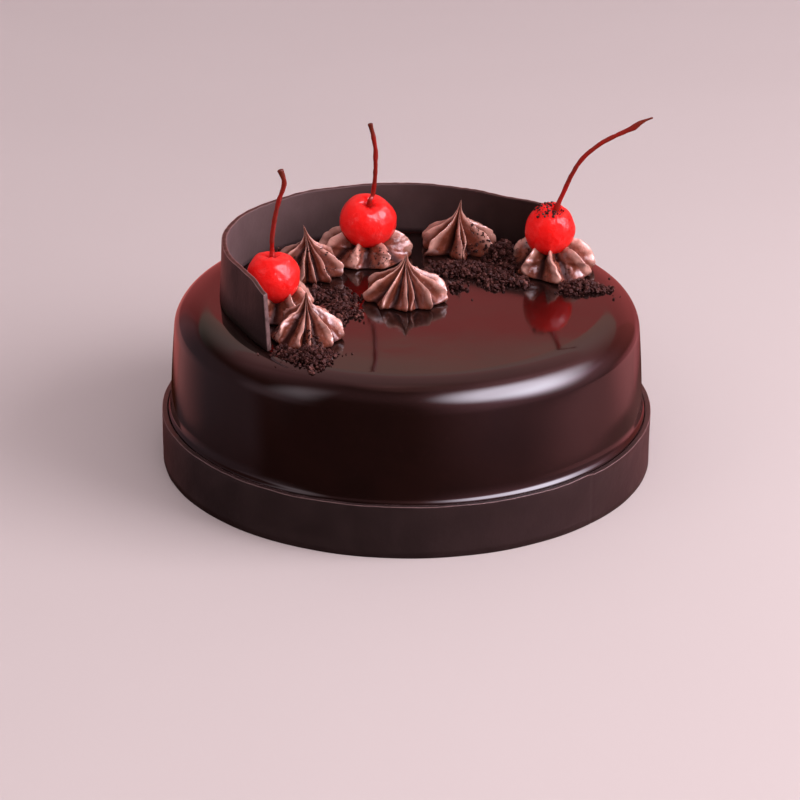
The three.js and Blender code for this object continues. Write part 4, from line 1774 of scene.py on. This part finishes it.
@dataclass(frozen=True)
class StudioCamera:
    """The camera, by its place and the directions of its own axes."""

    place: Triple = (0.0, -1.10349, 0.51262)
    right: Triple = (0.99996941, 0.00491516, 0.00608402)
    up: Triple = (-0.00755844, 0.40727747, 0.9132732)
    forward: Triple = (-0.002011, 0.91329125, -0.40730217)
    lens: float = 144.0
    sensor: float = 36.0

    def build(self) -> None:
        """Adds the camera and makes it the scene's own."""
        data = bpy.data.cameras.new("studio_camera")
        data.lens, data.sensor_width = self.lens, self.sensor
        data.clip_start, data.clip_end = 0.05, 60.0
        camera = bpy.data.objects.new("studio_camera", data)
        axes = Matrix((self.right, self.up, tuple(-v for v in self.forward))).transposed()
        camera.matrix_world = Matrix.Translation(self.place) @ axes.to_4x4()
        bpy.context.scene.collection.objects.link(camera)
        bpy.context.scene.camera = camera


@dataclass(frozen=True)
class SkyCard:
    """A soft lit card that shows in the gloss.

    Attributes:
        bearing: Its middle in degrees from +Y towards +X.
        elevation: Its middle in degrees above the horizon.
        half_width: Half its width in degrees.
        half_height: Half its height in degrees.
        softness: How wide its faded sides and ends are, as shares of its half size.
        light: Its brightness in red, green and blue.
        tilt: How far it climbs for each degree to the right.
        squareness: For a rounded card, 2 for an oval and more for squarer ones; 0 for a rectangle.
    """

    bearing: float
    elevation: float
    half_width: float
    half_height: float
    softness: tuple[float, float]
    light: Colour
    tilt: float = 0.0
    squareness: float = 0.0

    def glow(self, wiring: Wiring, bearing: bpy.types.NodeSocket, elevation: bpy.types.NodeSocket,
             effects: Effects) -> bpy.types.NodeSocket:
        """Its light, by direction.

        Args:
            wiring: The world's wiring.
            bearing: The direction's bearing in degrees.
            elevation: The direction's elevation in degrees.
            effects: The shared node groups.

        Returns:
            The colour socket.
        """
        inputs = {"Bearing": bearing, "Elevation": elevation, "Card Bearing": self.bearing,
                  "Card Elevation": self.elevation, "Half Width": self.half_width,
                  "Half Height": self.half_height, "Side Softness": self.softness[0], "Tilt": self.tilt}
        if self.squareness:
            mask = wiring.group(effects.round_card, {**inputs, "Squareness": self.squareness})
        else:
            mask = wiring.group(effects.card, {**inputs, "End Softness": self.softness[1]})
        return wiring.vector("SCALE", {0: self.light, "Scale": mask["Mask"]})


SKY_CARDS = (
    SkyCard(117, 42, 36, 19.8, (0.51, 0.51), (11.1, 11.0, 12.9), 0.11, 2.0),
    SkyCard(107.4, 24.4, 16.5, 15.8, (0.8, 0.8), (4.5, 4.6, 5.2), 0.17, 2.2),
    SkyCard(105.6, 18, 23, 7.4, (0.8, 0.8), (2.9, 2.1, 2.8), 0.0, 2.0),
    SkyCard(-122.3, 33, 9.4, 16, (0.95, 0.95), (1.52, 1.25, 1.38), 0.0, 3.0),
    SkyCard(-115, 5, 13.5, 12.6, (0.9, 0.9), (0.47, 0.32, 0.37), 0.0, 2.0),
    SkyCard(1.4, 0.95, 32, 23.15, (0.05, 0.012), (0.16, 0.026, 0.036)),
    SkyCard(0, 33, 43, 8.9, (0.5, 0.012), (0.0, 0.16, 0.14)),
    SkyCard(0, 54.1, 43, 30, (0.5, 0.012), (0.0, 0.06, 0.04)),
    SkyCard(43, 55, 112, 22.6, (0.36, 0.6), (0.92, 0.385, 0.41), -0.07),
    SkyCard(0, 90, 400, 11.3, (0.1, 0.5), (0.57, 0.23, 0.22)),
    SkyCard(-68.5, 0.6, 37, 23, (0.18, 0.3), (0.138, 0.104, 0.131)),
    SkyCard(-22, -14.2, 31, 8, (0.6, 0.1), (0.43, 0.124, 0.11)),
    SkyCard(67.7, -19.2, 40, 3, (0.5, 0.3), (0.66, 0.23, 0.24)),
    SkyCard(44, -13.2, 17.3, 5.9, (0.6, 0.8), (0.66, 0.17, 0.195)),
    SkyCard(15.2, 14, 45, 21, (0.7, 0.9), (0.76, 0.14, 0.13)),
    SkyCard(180, 56, 118, 15.4, (0.05, 0.95), (0.22, 0.098, 0.11)),
    SkyCard(114, 28, 41, 34.4, (0.6, 0.8), (1.54, 0.70, 0.84)),
    SkyCard(75, -58, 60, 35.5, (0.3, 0.02), (0.20, 0.09, 0.09)),
)


@dataclass(frozen=True)
class StudioSky:
    """What surrounds the set: soft even light, a pale backdrop, and what the gloss shows.

    Attributes:
        ambient: The even light on surfaces.
        backdrop: What the camera sees.
        dusk: What the gloss shows between the cards.
        rise: From and to which height of a direction the even light grows.
        growth: Its share at those heights.
    """

    ambient: Colour = (0.55, 0.49, 0.50)
    backdrop: Colour = (0.66, 0.58, 0.585)
    dusk: Colour = (0.026, 0.006, 0.002)
    rise: tuple[float, float] = (-0.2, 0.9)
    growth: tuple[float, float] = (0.8, 1.1)
    cards: tuple[SkyCard, ...] = SKY_CARDS

    def build(self, effects: Effects) -> None:
        """Builds the world.

        Args:
            effects: The shared node groups.
        """
        world = bpy.data.worlds.new("studio_sky")
        world.use_nodes = True
        world.node_tree.nodes.clear()
        wiring = Wiring(world.node_tree)
        towards = wiring.add("ShaderNodeTexCoord").outputs["Generated"]
        parts = wiring.add("ShaderNodeSeparateXYZ", {0: towards})
        lift = wiring.remap(parts.outputs["Z"], *self.rise, *self.growth)
        lifts = wiring.add("ShaderNodeCombineXYZ", {0: lift, 1: lift, 2: lift}).outputs[0]
        soft = wiring.vector("MULTIPLY", {0: self.ambient, 1: lifts})
        path = wiring.add("ShaderNodeLightPath")
        backgrounds = [wiring.add("ShaderNodeBackground", {"Color": c, "Strength": 1.0}).outputs[0]
                       for c in (soft, self._gloss(wiring, parts, effects), self.backdrop)]
        lit = wiring.add("ShaderNodeMixShader", {
            0: path.outputs["Is Glossy Ray"], 1: backgrounds[0], 2: backgrounds[1]})
        seen = wiring.add("ShaderNodeMixShader", {
            0: path.outputs["Is Camera Ray"], 1: lit.outputs[0], 2: backgrounds[2]})
        wiring.add("ShaderNodeOutputWorld", {"Surface": seen.outputs[0]})
        world.cycles.sampling_method = "NONE"
        bpy.context.scene.world = world

    def _gloss(self, wiring: Wiring, parts: bpy.types.Node, effects: Effects) -> bpy.types.NodeSocket:
        """The light that the gloss shows, by direction.

        Args:
            wiring: The world's wiring.
            parts: The node that gives the direction's x, y and z.
            effects: The shared node groups.

        Returns:
            The colour socket.
        """
        turn = wiring.math("ARCTAN2", parts.outputs["X"], parts.outputs["Y"])
        bearing = wiring.math("DEGREES", turn)
        elevation = wiring.math("DEGREES", wiring.math("ARCSINE", parts.outputs["Z"]))
        total = wiring.add("ShaderNodeCombineXYZ", dict(enumerate(self.dusk))).outputs[0]
        for card in self.cards:
            total = wiring.vector("ADD", {0: total, 1: card.glow(wiring, bearing, elevation, effects)})
        return total


@dataclass(frozen=True)
class StudioLamp:
    """A soft box that lights surfaces but isn't seen in the gloss, which the sky gives.

    Attributes:
        bearing: Its direction in degrees from +Y towards +X.
        elevation: Its direction in degrees above the horizon.
        distance: How far away it is, in metres.
        width: Its width in metres.
        height: Its height in metres.
        power: Its power in watts.
    """

    name: str
    bearing: float
    elevation: float
    distance: float
    width: float
    height: float
    power: float
    colour: Colour

    def build(self) -> None:
        """Adds the lamp, turned to the cake."""
        data = bpy.data.lights.new(self.name, "AREA")
        data.shape, data.size, data.size_y = "RECTANGLE", self.width, self.height
        data.energy, data.color = self.power, self.colour
        lamp = bpy.data.objects.new(self.name, data)
        turn, lift = math.radians(self.bearing), math.radians(self.elevation)
        toward = Vector((math.sin(turn) * math.cos(lift), math.cos(turn) * math.cos(lift), math.sin(lift)))
        middle_of_cake = Vector((0, 0, 0.05))
        lamp.location = middle_of_cake + toward * self.distance
        lamp.rotation_mode = "QUATERNION"
        lamp.rotation_quaternion = (-toward).to_track_quat("-Z", "Y")
        lamp.visible_glossy = lamp.visible_camera = False
        bpy.context.scene.collection.objects.link(lamp)


LAMPS = (
    StudioLamp("key_lamp", 106.0, 32.0, 1.25, 1.0, 0.80, 17.6, (1.0, 0.96, 0.97)),
    StudioLamp("front_lamp", 172.0, 42.0, 1.3, 1.2, 0.6, 4.0, (1.0, 0.93, 0.93)),
    StudioLamp("fill_lamp", -125.0, 35.0, 1.6, 0.6, 0.9, 1.4, (1.0, 0.94, 0.95)),
)


@dataclass(frozen=True)
class StudioFloor:
    """A wide plain floor under the cake, by half its width in metres."""

    half: float = 9.0

    def build(self, material: bpy.types.Material) -> None:
        """Adds the floor, which the gloss doesn't show.

        Args:
            material: Its finish.
        """
        side = self.half / MM
        corners = np.array([(-side, -side, 0), (side, -side, 0), (side, side, 0), (-side, side, 0)], float)
        floor = Skin(corners, [(0, 1, 2, 3)]).to_object("studio_floor")
        floor.data.materials.append(material)
        floor.visible_glossy = False


# ---------------------------------------------------------------- the gateau


KISSES = [
    Kiss("kiss_front_left", (-36.3, -42.0), 13.8, 16.8, 0.98,
         ((-160, 0.92), (-104, 1.0), (-88, 1.0), (-60, 1.05), (-10, 1.02), (38, 1.0), (84, 0.95),
          (130, 0.95)),
         14, 1.3, (0.1, 0.6)),
    Kiss("kiss_back_left", (-37.0, 20.4), 13.2, 18.7, 1.0,
         ((-165, 0.95), (-98, 1.12), (-84, 1.1), (-58, 1.12), (-22, 1.04), (33, 1.0), (84, 1.0), (135, 1.1)),
         -8, 2.9, (-2.3, 0.4), foot_depth=0.22, spike=0.13),
    Kiss("kiss_front_centre", (-1.2, -3.6), 16.2, 16.0, 0.97,
         ((-167, 0.98), (-124, 1.06), (-93, 1.05), (-81, 1.02), (-60, 1.08), (-28, 1.06), (10, 1.0),
          (52, 1.0), (97, 1.0), (146, 1.0)), 10, 4.1, (0.8, 0.8), foot_depth=0.16),
    Kiss("kiss_back_centre", (18.9, 44.6), 16.4, 20.2, 0.83,
         ((176, 0.8), (-138, 0.98), (-94, 1.0), (-82, 1.0), (-38, 1.0), (2, 1.0), (44, 1.02), (88, 1.0),
          (132, 1.0)), 10, 5.7, (1.5, 0.4), foot_depth=0.46, spike=0.14, carve=0.38, curl=0.65),
]

ROSETTES = [
    Rosette("rosette_left", (-47.4, -20.4), 13.8, 11.4, 1.0,
            ((-176, 0.95), (-122, 0.95), (-72, 1.0), (-24, 1.0), (28, 1.14), (80, 1.0), (132, 0.95)),
            10, 7.7),
    Rosette("rosette_centre", (-16.2, 37.0), 17.9, 11.2, 0.88,
            ((146, 1.08), (-168, 0.95), (-116, 0.98), (-62, 1.0), (-10, 1.02), (45, 1.0), (95, 0.95)),
            8, 8.3, front_drop=0.26),
    Rosette("rosette_right", (54.8, 25.8), 16.0, 12.0, 1.0,
            ((153, 1.04), (-134, 0.88), (-92, 1.08), (-38, 1.0), (10, 1.02), (58, 1.0), (105, 0.95)),
            -10, 9.1, front_drop=0.14),
]

CHERRIES = [
    Cherry("cherry_left", (-48.8, -22, 79.1), 9.8, 9.7, (-4, -2), 0.6),
    Cherry("cherry_centre", (-15.3, 37, 78.7), 10.8, 10.2, (22, 5), 1.7),
    Cherry("cherry_right", (53.6, 26, 80.1), 9.5, 10.3, (6, 15), 3.2),
]

STEMS = [
    Stem("stem_left", [(-49.1, -22.5, 93.5), (-48.4, -22.5, 99.7), (-46.4, -22.5, 109.0),
                       (-44.8, -22.5, 113.6), (-44.5, -22.5, 116.1), (-45.9, -22.5, 120.6)],
         StemEnd.KNOB),
    Stem("stem_centre", [(-13.5, 34, 89.8), (-12.6, 34, 96), (-12.3, 34, 104), (-12.4, 34, 108.8),
                         (-13.2, 34, 113.6), (-14.4, 34, 118.7)], StemEnd.CUT),
    Stem("stem_right", [(57.9, 25, 94.0), (61.1, 25, 101.9), (64.5, 25, 107.9), (68.9, 25, 112.4),
                        (73.4, 25, 115.7), (78.9, 25, 118.6), (83.5, 25, 120.9), (86.7, 25, 123.2),
                        (90.6, 25, 124.9)], StemEnd.FRAYED),
]

HEAPS = [
    Heap((-33.8, -61.2), (7.0, 6.6), -30, 2.4, 700),
    Heap((-43.5, -54.0), (3.0, 4.2), -30, 0.8, 110),
    Heap((-24.0, -15.5), (5.4, 15.0), -6, 1.7, 820),
    Heap((-33.5, -3.0), (5.0, 6.5), 0, 0.9, 190),
    Heap((-44.5, 9.0), (3.0, 5.0), 0, 1.5, 160),
    Heap((-47.0, 37.0), (3.6, 7.5), 30, 2.2, 200),
    Heap((21.0, 23.0), (12.0, 6.6), -4, 2.3, 950),
    Heap((33.0, 14.5), (6.8, 8.0), 20, 2.0, 640),
    Heap((34.5, 31.5), (5.6, 6.0), 0, 6.2, 620),
    Heap((39.5, 27.0), (4.0, 9.0), -6, 3.0, 420),
    Heap((36.5, 42.0), (3.6, 11.0), -6, 3.0, 330),
    Heap((18.0, 6.5), (4.5, 4.5), 0, 0.5, 60),
    Heap((42.0, 11.0), (3.4, 4.4), 0, 1.2, 120),
    Heap((64.8, 6.2), (7.9, 5.0), 4, 2.0, 620),
]

SINGLES = [(-21.6, -57.8, 0.45), (-19.4, -57.2, 0.35), (-22.8, -59.0, 0.3), (76.3, 19.5, 0.5),
           (-53.0, -56.5, 0.4), (-46.5, -65.1, 0.35), (76.7, -2.5, 0.5), (79.5, 2.5, 0.3),
           (-15.7, -28.9, 0.4), (-10.3, -27.3, 0.35), (12.0, -2.0, 0.3), (24.0, -6.0, 0.35)]

DUSTINGS = [
    Dusting("kiss_back_left", (-31.5, 12.0), 8.0, 120),
    Dusting("kiss_back_left", (-43.0, 16.0), 6.0, 60),
    Dusting("rosette_centre", (-8.5, 21.0), 8.5, 170),
    Dusting("rosette_centre", (-24.0, 24.0), 7.0, 60),
    Dusting("kiss_front_centre", (-9.0, -10.0), 5.0, 10),
    Dusting("kiss_front_left", (-33.5, -54.0), 3.6, 90, (0.25, 0.7)),
    Dusting("kiss_back_centre", (29.5, 38.0), 6.5, 200, (0.2, 0.7)),
    Dusting("kiss_back_centre", (18.0, 33.0), 8.0, 110),
    Dusting("kiss_back_centre", (8.5, 34.0), 5.0, 60),
    Dusting("rosette_right", (58.0, 14.0), 8.0, 30),
    Dusting("rosette_right", (42.0, 27.0), 6.0, 120),
]

CHERRY_DUSTING = Dusting("cherry_right", (53.0, 24.8), 5.8, 150, (0.18, 0.6))


@dataclass
class Gateau:
    """The whole object, piece by piece.

    Attributes:
        effects: The shared node groups.
        clearance: How far the rosettes stay away from the kisses and the cherries.
        trees: For finding the nearest place on each piece that others give way to.
    """

    effects: Effects
    cake: GlazedCake = field(default_factory=GlazedCake)
    collar: Collar = field(default_factory=Collar)
    clearance: float = 0.12
    trees: dict[str, BVHTree] = field(default_factory=dict)

    def build(self) -> None:
        """Builds every piece in order."""
        glaze = GlazeFinish().material(self.effects)
        crumb = CrumbFinish().material(self.effects)
        self.cake.build(glaze)
        BaseBand().build(ChocolateFinish("band_chocolate").material(self.effects))
        satin = ChocolateFinish("collar_chocolate", (0.0150, 0.0068, 0.0060), (0.0220, 0.0105, 0.0096),
                                roughness=0.36, worn_and_lit=0.42, specular=0.3)
        self.collar.build(satin.material(self.effects))
        self.build_cherries()
        self.build_piping()
        self.build_crumbs(crumb)

    def build_cherries(self) -> None:
        """Builds the cherries and their stalks."""
        flesh, stalk = CherryFinish().material(self.effects), StemFinish().material(self.effects)
        for cherry, stem in zip(CHERRIES, STEMS):
            self.trees[cherry.name] = cherry.skin().tree()
            cherry.build(flesh)
            stem.build(cherry, stalk)

    def build_piping(self) -> None:
        """Builds the kisses, then the rosettes, which give way to kisses and cherries."""
        cream = CreamFinish().material(self.effects)
        for kiss in KISSES:
            skin = kiss.skin(self.cake)
            self.trees[kiss.name] = skin.tree()
            hand_over(skin, f"{kiss.name}_piped", cream, Slot.CREAM, kiss.name)
        for rosette, cherry in zip(ROSETTES, CHERRIES):
            skin = rosette.skin(self.cake)
            for name in [kiss.name for kiss in KISSES] + [cherry.name]:
                skin.points = pushed_out(skin.points, self.trees[name], self.clearance)
            self.trees[rosette.name] = skin.tree()
            hand_over(skin, f"{rosette.name}_piped", cream, Slot.CREAM, rosette.name)

    def build_crumbs(self, material: bpy.types.Material) -> None:
        """Builds the heaps and the crumbs that stick to toppings.

        Args:
            material: The crumbs' finish.
        """
        piped = [self.trees[p.name] for p in (*KISSES, *ROSETTES)]
        CrumbHeaps(HEAPS, SINGLES, self.cake, self.collar, piped).build(material)
        maker = CrumbMaker(PIPING_CRUMB_SEED)
        for dusting in DUSTINGS:
            dusting.drop(self.trees[dusting.topping], maker)
        hand_over(maker.skin(), "crumbs_on_piping", material, Slot.CRUMB, smooth=False)
        maker = CrumbMaker(CHERRY_CRUMB_SEED)
        CHERRY_DUSTING.drop(self.trees[CHERRY_DUSTING.topping], maker)
        hand_over(maker.skin(), "crumbs_on_cherry", material, Slot.CRUMB, "cherry_right", smooth=False)


def main() -> None:
    """Builds the studio and the gateau."""
    logging.basicConfig(level=logging.INFO, format="%(name)s %(message)s")
    scene = bpy.context.scene
    scene.view_settings.view_transform = "Standard"
    effects = Effects()
    StudioCamera().build()
    StudioSky().build(effects)
    for lamp in LAMPS:
        lamp.build()
    StudioFloor().build(FloorFinish().material(effects))
    Gateau(effects).build()


if __name__ == "__main__":
    main()
